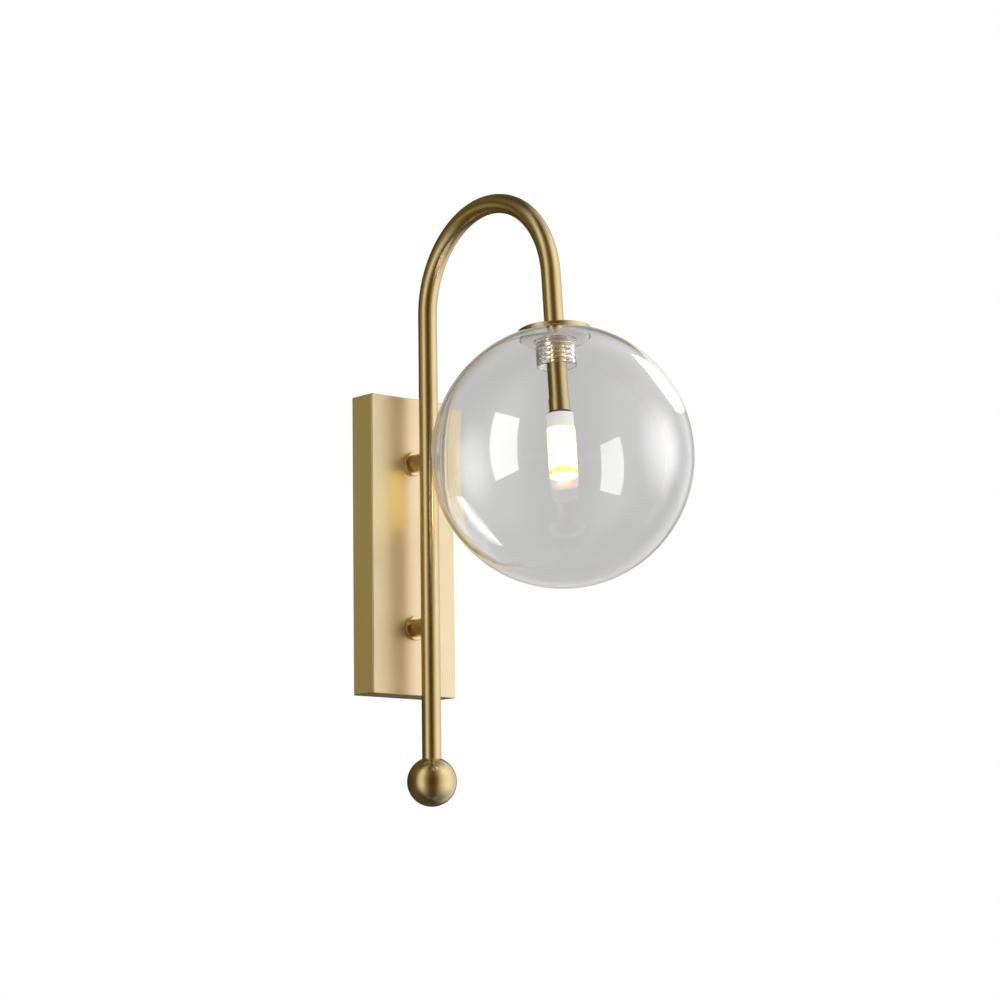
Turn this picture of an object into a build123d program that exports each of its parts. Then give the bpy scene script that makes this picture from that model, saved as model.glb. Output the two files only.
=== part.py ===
from build123d import *
import os
from math import acos, cos, degrees, floor, pi, radians, sin, sqrt, tan

# Globe wall sconce: a flat box on the wall, a bent tube arm on two standoffs,
# and a clear globe screwed on around a small plug-in bulb.
# Frame: origin on the wall at the centre of the backplate, +x to the right,
# -y out of the wall towards the room, +z up. Millimetres and degrees.

# ---------------------------------------------------------------- driving sizes
# Backplate cover, an open-backed brass box
cover_width = 66.0
cover_height = 190.0
cover_depth = 20.0
cover_sheet = 1.5
cover_corner_radius = 1.0
cover_edge_radius = 0.8

# Wall bracket, a steel strip with its two ends bent forward
bracket_width = 36.0
bracket_sheet = 1.5
bracket_end_gap = 0.3
bracket_tab_depth = 14.0
bracket_tab_width = 20.0
wall_slot_spacing = 60.0
wall_slot_length = 12.0
wall_slot_width = 5.0
bracket_entry_diameter = 15.0

# Grommet that the mains cable comes through
grommet_bore_diameter = 9.0
grommet_lip_width = 2.0
grommet_lip_height = 1.2

# Countersunk screws that hold the cover on the bracket ends
cover_screw_diameter = 3.0
cover_screw_head_diameter = 6.0
cover_screw_length = 8.0
cover_screw_setback = 8.0
cross_recess_length = 3.3
cross_recess_width = 0.7
cross_recess_depth = 0.8

# Arm tube
tube_diameter = 12.0
tube_wall = 1.5
arm_clearance = 16.0
arch_radius = 60.0
arch_opening_angle = 4.0
bend_start_height = 146.0
finial_height = -150.0
lamp_leg_length = 34.7

# Lamp pipe thread that joins the tube ends to the finial and the lamp parts
pipe_thread_diameter = 10.0
pipe_bore_diameter = 7.0
pipe_thread_depth = 9.0

# Ball finial
finial_diameter = 31.0
finial_socket_depth = 2.0

# Standoffs between the cover and the arm, each so far in from the cover's end
standoff_inset = 42.5
post_diameter = 11.6
flange_diameter = 15.5
flange_thickness = 2.0
flange_edge_radius = 0.5
nipple_diameter = 8.0
nipple_bore_diameter = 6.4
nipple_post_depth = 6.5
nipple_end_length = 1.5
washer_diameter = 15.0
washer_thickness = 1.0
nut_width = 12.0
nut_thickness = 3.5
bushing_wall = 0.4
bushing_flange_width = 1.5
bushing_flange_thickness = 0.8
bushing_depth = 4.0

# Cap disc on the end of the arm
disc_diameter = 44.8
disc_thickness = 1.5
disc_lip_height = 0.7
disc_lip_width = 1.6
disc_edge_radius = 0.5

# Globe: round below, drawn up a little towards the neck
globe_diameter = 158.0
globe_crown_stretch = 1.5
globe_wall = 2.0
land_radius = 23.0
land_edge_radius = 2.0
glass_collar_radius = 20.8
glass_collar_thickness = 4.5
neck_outer_diameter = 24.6
neck_length = 20.4
neck_root_radius = 2.5
neck_rim_radius = 0.4

# Screw thread between the glass neck and the brass boss
thread_pitch = 3.0
thread_root_width = 1.4
thread_crest_width = 0.8
thread_height = 1.0
boss_root_diameter = 18.6
boss_length = 9.5
boss_thread_turns = 2.5
neck_bore_diameter = 21.6
neck_thread_turns = 5.5
thread_end_margin = 0.8

# Seal ring between the glass and the disc
seal_outer_diameter = 40.0
seal_inner_diameter = 22.0
seal_thickness = 1.0

# Socket tube and the lampholder in its end
socket_tube_wall = 1.2
socket_tube_length = 39.5
ferrule_wall = 0.45
ferrule_length = 7.7
ferrule_lip_thickness = 0.5
ferrule_lip_width = 1.7
holder_length = 14.5
holder_face_height = 0.3

# Plug-in bulb
bulb_gap = 0.4
bulb_pin_diameter = 0.7
bulb_pin_spacing = 4.0
bulb_pin_reach = 6.0
bulb_pin_seat = 3.0
bulb_base_diameter = 16.4
bulb_base_length = 10.0
bulb_base_edge_radius = 1.2
bulb_cover_diameter = 17.2
bulb_cover_length = 30.5
bulb_cover_wall = 1.2
bulb_cover_end_radius = 2.4
bulb_core_width = 7.0
bulb_core_length = 26.0
bulb_chip_width = 2.8
bulb_chip_height = 1.6
bulb_chip_thickness = 0.6
bulb_chip_rows = 5

# Contacts in the lampholder
contact_wall = 0.35
contact_length = 6.0
contact_top = 0.6
contact_inset = 0.5

# Driver that turns mains into the bulb's low voltage; it fills the height between the
# upper standoff and the bracket's end
driver_width = 32.0
driver_case_depth = 13.0
driver_wall = 1.2
driver_corner_radius = 1.5
driver_base_thickness = 1.5
driver_ear_length = 6.5
driver_ear_width = 9.0
driver_nut_gap = 0.5
driver_end_gap = 0.7
board_thickness = 1.2
board_edge_gap = 1.0
board_post_height = 0.5
board_post_diameter = 3.0
board_post_inset = 3.0
transformer_width = 10.0
transformer_height = 9.0
capacitor_diameter = 8.0
component_thickness = 6.0
pad_height = 3.0
pad_inset = 1.5
output_pad_width = 6.5

# Three-pole terminal block at the lower end of the bracket
terminal_width = 26.0
terminal_height = 16.0
terminal_depth = 12.0
terminal_pitch = 8.0
terminal_bore_diameter = 3.2
terminal_end_gap = 10.0
terminal_screw_diameter = 2.4
terminal_screw_recess = 1.0

# Small screws, and the earth point a little above the terminal block
small_screw_diameter = 3.0
small_screw_head_diameter = 5.5
small_screw_head_height = 2.0
screw_slot_width = 0.8
earth_screw_diameter = 4.0
earth_screw_head_diameter = 7.0
earth_screw_head_height = 2.4
earth_point_x = 11.0
earth_point_rise = 29.2
earth_ring_thickness = 0.8
earth_ring_width = 2.2
earth_barrel_length = 6.0
earth_barrel_wall = 0.5
earth_barrel_end = 1.0

# Wires
lamp_wire_diameter = 1.4
mains_lead_diameter = 2.2
lamp_wire_bend_radius = 5.0
lead_entry_depth = 6.0
lead_screw_gap = 0.9
bend_share = 0.45

# Clearances
thread_fit = 0.05
slip_fit = 0.1
face_gap = 0.3

# ---------------------------------------------------------------- worked-out places
arm_reach = cover_depth + arm_clearance
tube_radius = tube_diameter / 2
tube_bore_radius = tube_radius - tube_wall
pipe_thread_radius = pipe_thread_diameter / 2
tapped_radius = pipe_thread_radius + thread_fit
upper_standoff_height = cover_height / 2 - standoff_inset
standoff_heights = (upper_standoff_height, -upper_standoff_height)
cover_inside = cover_depth - cover_sheet
bracket_half_length = cover_height / 2 - cover_sheet - bracket_end_gap

# The lamp hangs on the end of the bend, which stops a little short of a half turn
opening = radians(arch_opening_angle)
lamp_down = Vector(0, -sin(opening), -cos(opening))
bend_end = Vector(
    0,
    -arm_reach - arch_radius - arch_radius * cos(opening),
    bend_start_height + arch_radius * sin(opening),
)
arm_end = bend_end + lamp_down * lamp_leg_length

# Section through the lamp: x is the radius and y the height above the arm's end
lamp_section = Plane(origin=arm_end, x_dir=(1, 0, 0), z_dir=(0, -cos(opening), sin(opening)))
lamp_axis = Axis(arm_end, lamp_down)

# Heights along the lamp, all measured from the arm's end
seal_top = -disc_thickness
land_level = seal_top - seal_thickness
globe_radius = globe_diameter / 2
crown_radius = globe_radius + globe_crown_stretch
land_height = sqrt(crown_radius**2 - (land_radius + globe_crown_stretch) ** 2)
globe_level = land_level - land_height
neck_bottom = land_level - neck_length
boss_bottom = seal_top - boss_length
socket_bottom = boss_bottom - socket_tube_length
ferrule_bottom = socket_bottom - ferrule_lip_thickness
holder_face = ferrule_bottom - holder_face_height
holder_top = holder_face + holder_length
contact_bottom = holder_face + contact_inset
contact_end = contact_bottom + contact_length
bulb_top = holder_face - bulb_gap
bulb_base_bottom = bulb_top - bulb_base_length
bulb_bottom = bulb_base_bottom - bulb_cover_length

# Standoff stack, as distances from the wall
nut_face = cover_inside - washer_thickness
nut_inner = nut_face - nut_thickness
nipple_inner = nut_inner - nipple_end_length
nipple_outer = cover_depth + flange_thickness + nipple_post_depth

# Electrical gear, as heights
driver_bottom = upper_standoff_height + washer_diameter / 2 + driver_nut_gap
driver_top = bracket_half_length - bracket_sheet - driver_end_gap - driver_ear_length
driver_height = driver_top - driver_bottom
driver_centre = driver_bottom + driver_height / 2
driver_base_front = bracket_sheet + driver_base_thickness
board_back = driver_base_front + board_post_height
board_front = board_back + board_thickness
terminal_centre = -bracket_half_length + terminal_end_gap + terminal_height / 2
terminal_top = terminal_centre + terminal_height / 2
terminal_wire_distance = bracket_sheet + terminal_depth / 2
pole_places = (-terminal_pitch, 0.0, terminal_pitch)
earth_point_height = terminal_top + earth_point_rise


def wall_plane(distance):
    """Plane parallel to the wall, facing the room: x across, y up."""
    return Plane.XZ.offset(distance)


def lamp_plane(height):
    """Plane square to the lamp's axis, facing up it, at a height above the arm's end."""
    return Plane(origin=arm_end - lamp_down * height, x_dir=(1, 0, 0), z_dir=-lamp_down)


def corner(sketch, x, y):
    """The sketch's corner nearest to a place."""
    return sketch.vertices().sort_by_distance((x, y, 0))[0]


# ---------------------------------------------------------------- backplate cover
def screw_seat(clearance):
    """Half section of a cover screw at the top edge of the cover, with room around it."""
    head = cover_screw_head_diameter / 2 + clearance
    shank = cover_screw_diameter / 2 + clearance
    top = cover_height / 2
    neck = top - (cover_screw_head_diameter - cover_screw_diameter) / 2
    tip = top - cover_screw_length
    return [(0, top), (head, top), (shank, neck), (shank, tip), (0, tip)]


screw_axis = Axis((0, -cover_screw_setback, 0), (0, 0, 1))

with BuildPart() as backplate_cover:
    with BuildSketch(Plane.XZ):
        Rectangle(cover_width, cover_height)
    extrude(amount=cover_depth)
    fillet(backplate_cover.edges().filter_by(Axis.Y), radius=cover_corner_radius)
    fillet(backplate_cover.faces().sort_by(Axis.Y)[0].edges(), radius=cover_edge_radius)
    with BuildSketch(Plane.XZ):
        Rectangle(cover_width - 2 * cover_sheet, cover_height - 2 * cover_sheet)
    extrude(amount=cover_inside, mode=Mode.SUBTRACT)
    with BuildSketch(Plane.XZ):
        with Locations(*[(0, height) for height in standoff_heights]):
            Circle(nipple_diameter / 2 + slip_fit)
    extrude(amount=cover_depth, mode=Mode.SUBTRACT)
    for side in (1, -1):
        with BuildSketch(wall_plane(cover_screw_setback)):
            with BuildLine():
                Polyline(*[(x, side * z) for x, z in screw_seat(slip_fit)], close=True)
            make_face()
        revolve(axis=screw_axis, mode=Mode.SUBTRACT)

with BuildPart() as cover_screws:
    for side in (1, -1):
        with BuildSketch(wall_plane(cover_screw_setback)):
            with BuildLine():
                Polyline(*[(x, side * z) for x, z in screw_seat(0)], close=True)
            make_face()
        revolve(axis=screw_axis)
        # Cross recess in the head
        with BuildSketch(Plane.XY.offset(side * cover_height / 2)):
            with Locations((0, -cover_screw_setback)):
                Rectangle(cross_recess_length, cross_recess_width)
                Rectangle(cross_recess_width, cross_recess_length)
        extrude(amount=-side * cross_recess_depth, mode=Mode.SUBTRACT)

# ---------------------------------------------------------------- wall bracket and grommet
driver_ear_x = (driver_width - driver_ear_width) / 2
driver_screw_places = (
    (-driver_ear_x, driver_bottom - driver_ear_length / 2),
    (driver_ear_x, driver_top + driver_ear_length / 2),
)
terminal_screw_places = tuple((side * terminal_pitch / 2, terminal_centre) for side in (-1, 1))

with BuildPart() as wall_bracket:
    with BuildSketch(Plane.XZ):
        Rectangle(bracket_width, 2 * bracket_half_length)
        with Locations(*[(0, side * wall_slot_spacing / 2) for side in (1, -1)]):
            SlotOverall(wall_slot_length, wall_slot_width, rotation=90, mode=Mode.SUBTRACT)
        Circle(bracket_entry_diameter / 2, mode=Mode.SUBTRACT)
        with Locations(*driver_screw_places, *terminal_screw_places):
            Circle(small_screw_diameter / 2 + thread_fit, mode=Mode.SUBTRACT)
        with Locations((earth_point_x, earth_point_height)):
            Circle(earth_screw_diameter / 2 + thread_fit, mode=Mode.SUBTRACT)
    extrude(amount=bracket_sheet)
    for side in (1, -1):
        with BuildSketch(Plane.XY.offset(side * bracket_half_length)):
            with Locations((0, -bracket_tab_depth / 2)):
                Rectangle(bracket_tab_width, bracket_tab_depth)
            with Locations((0, -cover_screw_setback)):
                Circle(cover_screw_diameter / 2 + thread_fit, mode=Mode.SUBTRACT)
        extrude(amount=-side * bracket_sheet)

with BuildPart() as cable_grommet:
    # A short sleeve in the bracket's hole, with a lip on the room side
    with BuildSketch(Plane.XZ):
        Circle(bracket_entry_diameter / 2 - thread_fit)
        Circle(grommet_bore_diameter / 2, mode=Mode.SUBTRACT)
    extrude(amount=bracket_sheet + grommet_lip_height)
    with BuildSketch(wall_plane(bracket_sheet)):
        Circle(bracket_entry_diameter / 2 + grommet_lip_width)
        Circle(grommet_bore_diameter / 2, mode=Mode.SUBTRACT)
    extrude(amount=grommet_lip_height)

# ---------------------------------------------------------------- standoffs
def standoff_flange(height):
    """Ring between the cover's face and the post."""
    with BuildPart() as flange:
        with BuildSketch(wall_plane(cover_depth)):
            with Locations((0, height)):
                Circle(flange_diameter / 2)
                Circle(nipple_diameter / 2 + thread_fit, mode=Mode.SUBTRACT)
        extrude(amount=flange_thickness)
        outer_edge = flange.faces().sort_by(Axis.Y)[0].edges().sort_by(SortBy.RADIUS)[-1]
        fillet(outer_edge, radius=flange_edge_radius)
    return flange


def standoff_post(height):
    """Post brazed to the arm: it ends in a saddle around the tube and is tapped at the flange."""
    post_start = cover_depth + flange_thickness
    with BuildPart() as post:
        with BuildSketch(wall_plane(post_start)):
            with Locations((0, height)):
                Circle(post_diameter / 2)
        extrude(amount=arm_reach - post_start)
        with BuildSketch(Plane.XY.offset(height)):
            with Locations((0, -arm_reach)):
                Circle(tube_radius)
        extrude(amount=post_diameter, both=True, mode=Mode.SUBTRACT)
        with BuildSketch(wall_plane(post_start)):
            with Locations((0, height)):
                Circle(nipple_diameter / 2 + thread_fit)
        extrude(amount=nipple_post_depth, mode=Mode.SUBTRACT)
        with BuildSketch(wall_plane(post_start)):
            with Locations((0, height)):
                Circle(nipple_bore_diameter / 2)
        extrude(amount=arm_reach - post_start, mode=Mode.SUBTRACT)
    return post


upper_standoff_flange = standoff_flange(standoff_heights[0])
lower_standoff_flange = standoff_flange(standoff_heights[1])
upper_standoff_post = standoff_post(standoff_heights[0])
lower_standoff_post = standoff_post(standoff_heights[1])

with BuildPart() as standoff_nipples:
    with BuildSketch(wall_plane(nipple_inner)):
        with Locations(*[(0, height) for height in standoff_heights]):
            Circle(nipple_diameter / 2)
            Circle(nipple_bore_diameter / 2, mode=Mode.SUBTRACT)
    extrude(amount=nipple_outer - nipple_inner)

with BuildPart() as standoff_washers:
    with BuildSketch(wall_plane(nut_face)):
        with Locations(*[(0, height) for height in standoff_heights]):
            Circle(washer_diameter / 2)
            Circle(nipple_diameter / 2 + slip_fit, mode=Mode.SUBTRACT)
    extrude(amount=washer_thickness)

with BuildPart() as standoff_nuts:
    with BuildSketch(wall_plane(nut_inner)):
        with Locations(*[(0, height) for height in standoff_heights]):
            RegularPolygon(nut_width / 2, 6, major_radius=False)
            Circle(nipple_diameter / 2 + thread_fit, mode=Mode.SUBTRACT)
    extrude(amount=nut_thickness)

with BuildPart() as wire_bushing:
    # Plastic bush in the upper nipple's inner end, where the lamp wires go in
    bushing_radius = nipple_bore_diameter / 2 - thread_fit
    bushing_bore = nipple_bore_diameter / 2 - bushing_wall
    with BuildSketch(wall_plane(nipple_inner)):
        with Locations((0, upper_standoff_height)):
            Circle(bushing_radius)
            Circle(bushing_bore, mode=Mode.SUBTRACT)
    extrude(amount=bushing_depth)
    with BuildSketch(wall_plane(nipple_inner)):
        with Locations((0, upper_standoff_height)):
            Circle(bushing_radius + bushing_flange_width)
            Circle(bushing_bore, mode=Mode.SUBTRACT)
    extrude(amount=-bushing_flange_thickness)

# ---------------------------------------------------------------- arm
finial_radius = finial_diameter / 2
tube_seat = sqrt(finial_radius**2 - tube_radius**2) - finial_socket_depth
arm_foot = finial_height + tube_seat


def swept_circle(line, radius, mode=Mode.ADD):
    """Round bar along a line, from its start, in the part being built."""
    path = line.wire()
    with BuildSketch(Plane(origin=path @ 0, z_dir=path % 0)) as section:
        Circle(radius)
    sweep(section.sketch, path=path, mode=mode)


# The arm's centre line: up the back leg, round the arch, down the lamp leg
with BuildLine(Plane.YZ) as arm_centre:
    back_leg = Line((-arm_reach, arm_foot), (-arm_reach, bend_start_height))
    arm_arch = JernArc(back_leg @ 1, back_leg % 1, arch_radius, 180 - arch_opening_angle)
    Line(arm_arch @ 1, (arm_arch @ 1) + lamp_down * lamp_leg_length)

with BuildPart() as arm_tube:
    swept_circle(arm_centre, tube_radius)
    swept_circle(arm_centre, tube_bore_radius, Mode.SUBTRACT)
    # Tapped ends for the finial's stud and the lamp nipple
    with BuildSketch(Plane.XY.offset(arm_foot)):
        with Locations((0, -arm_reach)):
            Circle(tapped_radius)
    extrude(amount=pipe_thread_depth + face_gap, mode=Mode.SUBTRACT)
    with BuildSketch(lamp_plane(0)):
        Circle(tapped_radius)
    extrude(amount=pipe_thread_depth + face_gap, mode=Mode.SUBTRACT)
    # Side hole behind the upper post, for the wires
    with BuildSketch(wall_plane(arm_reach - tube_radius - thread_fit)):
        with Locations((0, upper_standoff_height)):
            Circle(nipple_bore_diameter / 2)
    extrude(amount=tube_radius, mode=Mode.SUBTRACT)

with BuildPart() as ball_finial:
    with BuildSketch(Plane.XZ.offset(arm_reach)):
        with Locations((0, finial_height)):
            Circle(finial_radius)
            with Locations((-finial_radius / 2, 0)):
                Rectangle(finial_radius, 2 * finial_radius, mode=Mode.SUBTRACT)
    revolve(axis=Axis((0, -arm_reach, finial_height), (0, 0, 1)))
    with BuildSketch(Plane.XY.offset(arm_foot)):
        with Locations((0, -arm_reach)):
            Circle(tube_radius + thread_fit)
    extrude(amount=finial_radius, mode=Mode.SUBTRACT)
    with BuildSketch(Plane.XY.offset(arm_foot)):
        with Locations((0, -arm_reach)):
            Circle(tapped_radius)
    extrude(amount=-(pipe_thread_depth + face_gap), mode=Mode.SUBTRACT)

with BuildPart() as finial_stud:
    with BuildSketch(Plane.XY.offset(arm_foot)):
        with Locations((0, -arm_reach)):
            Circle(pipe_thread_radius)
    extrude(amount=pipe_thread_depth, both=True)

# ---------------------------------------------------------------- cap disc and lamp nipple
nipple_up = pipe_thread_depth
nipple_down = boss_bottom - pipe_thread_depth

with BuildPart() as lamp_nipple:
    with BuildSketch(lamp_plane(nipple_down)):
        Circle(pipe_thread_radius)
        Circle(pipe_bore_diameter / 2, mode=Mode.SUBTRACT)
    extrude(amount=nipple_up - nipple_down)

with BuildPart() as cap_disc:
    with BuildSketch(lamp_section) as disc_profile:
        with BuildLine():
            Polyline(
                (tapped_radius, 0),
                (disc_diameter / 2, 0),
                (disc_diameter / 2, -disc_thickness - disc_lip_height),
                (disc_diameter / 2 - disc_lip_width, -disc_thickness - disc_lip_height),
                (disc_diameter / 2 - disc_lip_width, -disc_thickness),
                (tapped_radius, -disc_thickness),
                close=True,
            )
        make_face()
        fillet(corner(disc_profile, disc_diameter / 2, 0), radius=disc_edge_radius)
    revolve(axis=lamp_axis)


# ---------------------------------------------------------------- threaded boss and globe
def thread_ridge(level, turns, root_radius, side):
    """Right-handed ridge along the lamp's axis: side 1 stands outwards, side -1 inwards."""
    buried = 0.2
    base = thread_root_width / 2 + buried * (thread_root_width - thread_crest_width) / 2 / thread_height
    tip = thread_crest_width / 2
    with BuildPart() as ridge:
        with BuildLine() as coil:
            centre = arm_end - lamp_down * level
            Helix(thread_pitch, turns * thread_pitch, root_radius, center=centre, direction=-lamp_down)
        outwards = (coil.line @ 0) - centre
        with BuildSketch(Plane(origin=coil.line @ 0, x_dir=outwards, z_dir=coil.line % 0)):
            with BuildLine():
                Polyline(
                    (-side * buried, -base),
                    (side * thread_height, -tip),
                    (side * thread_height, tip),
                    (-side * buried, base),
                    close=True,
                )
            make_face()
        sweep(path=coil.line, is_frenet=True)
    return ridge.part


# The neck's turns lie half a pitch from the boss's, as many pitches lower as the neck has room for
boss_thread_level = boss_bottom + thread_end_margin
neck_thread_room = boss_thread_level - neck_bottom - thread_end_margin
neck_thread_level = boss_thread_level - (floor(neck_thread_room / thread_pitch - 0.5) + 0.5) * thread_pitch

boss_ridge = thread_ridge(boss_thread_level, boss_thread_turns, boss_root_diameter / 2, 1)
neck_ridge = thread_ridge(neck_thread_level, neck_thread_turns, neck_bore_diameter / 2, -1)

with BuildPart() as threaded_boss:
    with BuildSketch(lamp_plane(boss_bottom)):
        Circle(boss_root_diameter / 2)
        Circle(tapped_radius, mode=Mode.SUBTRACT)
    extrude(amount=boss_length)
    add(boss_ridge)


def half_globe(radius):
    """Half section of the globe: a quarter circle below and a slightly larger arc above."""
    crown = radius + globe_crown_stretch
    crown_height = sqrt(crown**2 - globe_crown_stretch**2)
    with BuildSketch() as half:
        with BuildLine():
            CenterArc((0, 0), radius, -90, 90)
            CenterArc((-globe_crown_stretch, 0), crown, 0, degrees(acos(globe_crown_stretch / crown)))
            Line((0, crown_height), (0, -radius))
        make_face()
    return half.sketch


outer_half = half_globe(globe_radius)
inner_half = half_globe(globe_radius - globe_wall)
collar_bottom = land_height - glass_collar_thickness
neck_outer_radius = neck_outer_diameter / 2
neck_bore_radius = neck_bore_diameter / 2
globe_section = Plane(
    origin=arm_end - lamp_down * globe_level,
    x_dir=lamp_section.x_dir,
    z_dir=lamp_section.z_dir,
)

with BuildPart() as glass_globe:
    with BuildSketch(globe_section) as glass:
        add(outer_half)
        add(inner_half, mode=Mode.SUBTRACT)
        # Thick collar at the top, and the neck that hangs from it
        with Locations((0, collar_bottom)):
            Rectangle(
                glass_collar_radius,
                glass_collar_thickness,
                align=(Align.MIN, Align.MIN),
            )
        with Locations((0, land_height - neck_length)):
            Rectangle(neck_outer_radius, neck_length, align=(Align.MIN, Align.MIN))
        # Flat ground land on top, and the bore
        with Locations((0, land_height)):
            Rectangle(globe_radius, globe_radius, align=(Align.MIN, Align.MIN), mode=Mode.SUBTRACT)
        with Locations((0, land_height - neck_length)):
            Rectangle(neck_bore_radius, 2 * neck_length, align=(Align.MIN, Align.MIN), mode=Mode.SUBTRACT)
        fillet(corner(glass, land_radius, land_height), radius=land_edge_radius)
        fillet(corner(glass, neck_outer_radius, collar_bottom), radius=neck_root_radius)
        fillet(corner(glass, glass_collar_radius, collar_bottom), radius=neck_root_radius)
        fillet(corner(glass, neck_outer_radius, land_height - neck_length), radius=neck_rim_radius)
    revolve(axis=lamp_axis)
    add(neck_ridge)

with BuildPart() as globe_seal:
    with BuildSketch(lamp_plane(land_level)):
        Circle(seal_outer_diameter / 2)
        Circle(seal_inner_diameter / 2, mode=Mode.SUBTRACT)
    extrude(amount=seal_thickness)

# ---------------------------------------------------------------- socket tube and lampholder
socket_bore_radius = tube_radius - socket_tube_wall
holder_radius = socket_bore_radius - thread_fit
spigot_radius = tube_radius + ferrule_wall - ferrule_lip_width - thread_fit
pin_offset = bulb_pin_spacing / 2
contact_bore = bulb_pin_diameter / 2 + slip_fit
contact_radius = contact_bore + contact_wall
wire_radius = lamp_wire_diameter / 2
pin_places = ((-pin_offset, 0), (pin_offset, 0))

with BuildPart() as socket_tube:
    with BuildSketch(lamp_plane(socket_bottom)):
        Circle(tube_radius)
        Circle(socket_bore_radius, mode=Mode.SUBTRACT)
    extrude(amount=socket_tube_length)
    with BuildSketch(lamp_plane(boss_bottom)):
        Circle(tapped_radius)
    extrude(amount=-(pipe_thread_depth + face_gap), mode=Mode.SUBTRACT)

with BuildPart() as socket_ferrule:
    with BuildSketch(lamp_plane(ferrule_bottom)):
        Circle(tube_radius + ferrule_wall)
        Circle(tube_radius + ferrule_wall - ferrule_lip_width, mode=Mode.SUBTRACT)
    extrude(amount=ferrule_lip_thickness)
    with BuildSketch(lamp_plane(socket_bottom)):
        Circle(tube_radius + ferrule_wall)
        Circle(tube_radius + thread_fit, mode=Mode.SUBTRACT)
    extrude(amount=ferrule_length - ferrule_lip_thickness)

with BuildPart() as lampholder:
    with BuildSketch(lamp_plane(holder_face)):
        Circle(spigot_radius)
    extrude(amount=holder_length)
    with BuildSketch(lamp_plane(socket_bottom)):
        Circle(holder_radius)
    extrude(amount=holder_top - socket_bottom)
    with BuildSketch(lamp_plane(holder_face)):
        with Locations(*pin_places):
            Circle(contact_radius + thread_fit)
    extrude(amount=contact_end - holder_face, mode=Mode.SUBTRACT)
    with BuildSketch(lamp_plane(holder_face)):
        with Locations(*pin_places):
            Circle(wire_radius + thread_fit)
    extrude(amount=holder_length, mode=Mode.SUBTRACT)

with BuildPart() as lampholder_contacts:
    with BuildSketch(lamp_plane(contact_bottom)):
        with Locations(*pin_places):
            Circle(contact_radius)
            Circle(contact_bore, mode=Mode.SUBTRACT)
    extrude(amount=contact_length - contact_top)
    with BuildSketch(lamp_plane(contact_end)):
        with Locations(*pin_places):
            Circle(contact_radius)
    extrude(amount=-contact_top)

# ---------------------------------------------------------------- bulb
with BuildPart() as bulb_base:
    with BuildSketch(lamp_plane(bulb_base_bottom)):
        Circle(bulb_base_diameter / 2)
    extrude(amount=bulb_base_length)
    top_edge = bulb_base.edges().filter_by(GeomType.CIRCLE).sort_by(Axis.Z)[-1]
    fillet(top_edge, radius=bulb_base_edge_radius)
    with BuildSketch(lamp_plane(bulb_top)):
        with Locations(*pin_places):
            Circle(bulb_pin_diameter / 2 + thread_fit)
    extrude(amount=-bulb_pin_seat, mode=Mode.SUBTRACT)

with BuildPart() as bulb_pins:
    with BuildSketch(lamp_plane(bulb_top - bulb_pin_seat)):
        with Locations(*pin_places):
            Circle(bulb_pin_diameter / 2)
    extrude(amount=bulb_pin_seat + bulb_pin_reach)

with BuildPart() as bulb_cover:
    with BuildSketch(lamp_section) as cover_profile:
        with Locations((0, bulb_bottom)):
            Rectangle(bulb_cover_diameter / 2, bulb_cover_length, align=(Align.MIN, Align.MIN))
        fillet(corner(cover_profile, bulb_cover_diameter / 2, bulb_bottom), radius=bulb_cover_end_radius)
        with Locations((0, bulb_bottom + bulb_cover_wall)):
            Rectangle(
                bulb_cover_diameter / 2 - bulb_cover_wall,
                bulb_cover_length - bulb_cover_wall,
                align=(Align.MIN, Align.MIN),
                mode=Mode.SUBTRACT,
            )
    revolve(axis=lamp_axis)

with BuildPart() as bulb_core:
    # Square post with rows of light-emitting chips on its four sides
    with BuildSketch(lamp_plane(bulb_base_bottom)):
        Rectangle(bulb_core_width, bulb_core_width)
    extrude(amount=-bulb_core_length)
    chip_step = bulb_core_length / bulb_chip_rows
    for row in range(bulb_chip_rows):
        chip_level = bulb_base_bottom - (row + 0.5) * chip_step
        chip_span = bulb_core_width + 2 * bulb_chip_thickness
        with BuildSketch(lamp_plane(chip_level - bulb_chip_height / 2)):
            Rectangle(chip_span, bulb_chip_width)
            Rectangle(bulb_chip_width, chip_span)
        extrude(amount=bulb_chip_height)

# ---------------------------------------------------------------- driver
lamp_wire_distance = board_front + lamp_wire_diameter / 2 + face_gap
mains_lead_distance = driver_base_front + small_screw_head_height + mains_lead_diameter / 2 + lead_screw_gap
mains_lead_offset = driver_width / 2 - driver_wall - mains_lead_diameter
pad_bottom = driver_bottom + driver_wall + pad_inset
board_post_x = driver_width / 2 - driver_wall - board_post_inset
board_post_z = driver_height / 2 - driver_wall - board_post_inset

with BuildPart() as driver_base:
    with BuildSketch(wall_plane(bracket_sheet)):
        with Locations((0, driver_centre)):
            Rectangle(driver_width, driver_height)
        with Locations(*driver_screw_places):
            Rectangle(driver_ear_width, driver_ear_length)
            Circle(small_screw_diameter / 2 + slip_fit, mode=Mode.SUBTRACT)
    extrude(amount=driver_base_thickness)
    with BuildSketch(wall_plane(driver_base_front)):
        with Locations((0, driver_centre)):
            with GridLocations(2 * board_post_x, 2 * board_post_z, 2, 2):
                Circle(board_post_diameter / 2)
    extrude(amount=board_post_height)

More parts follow.
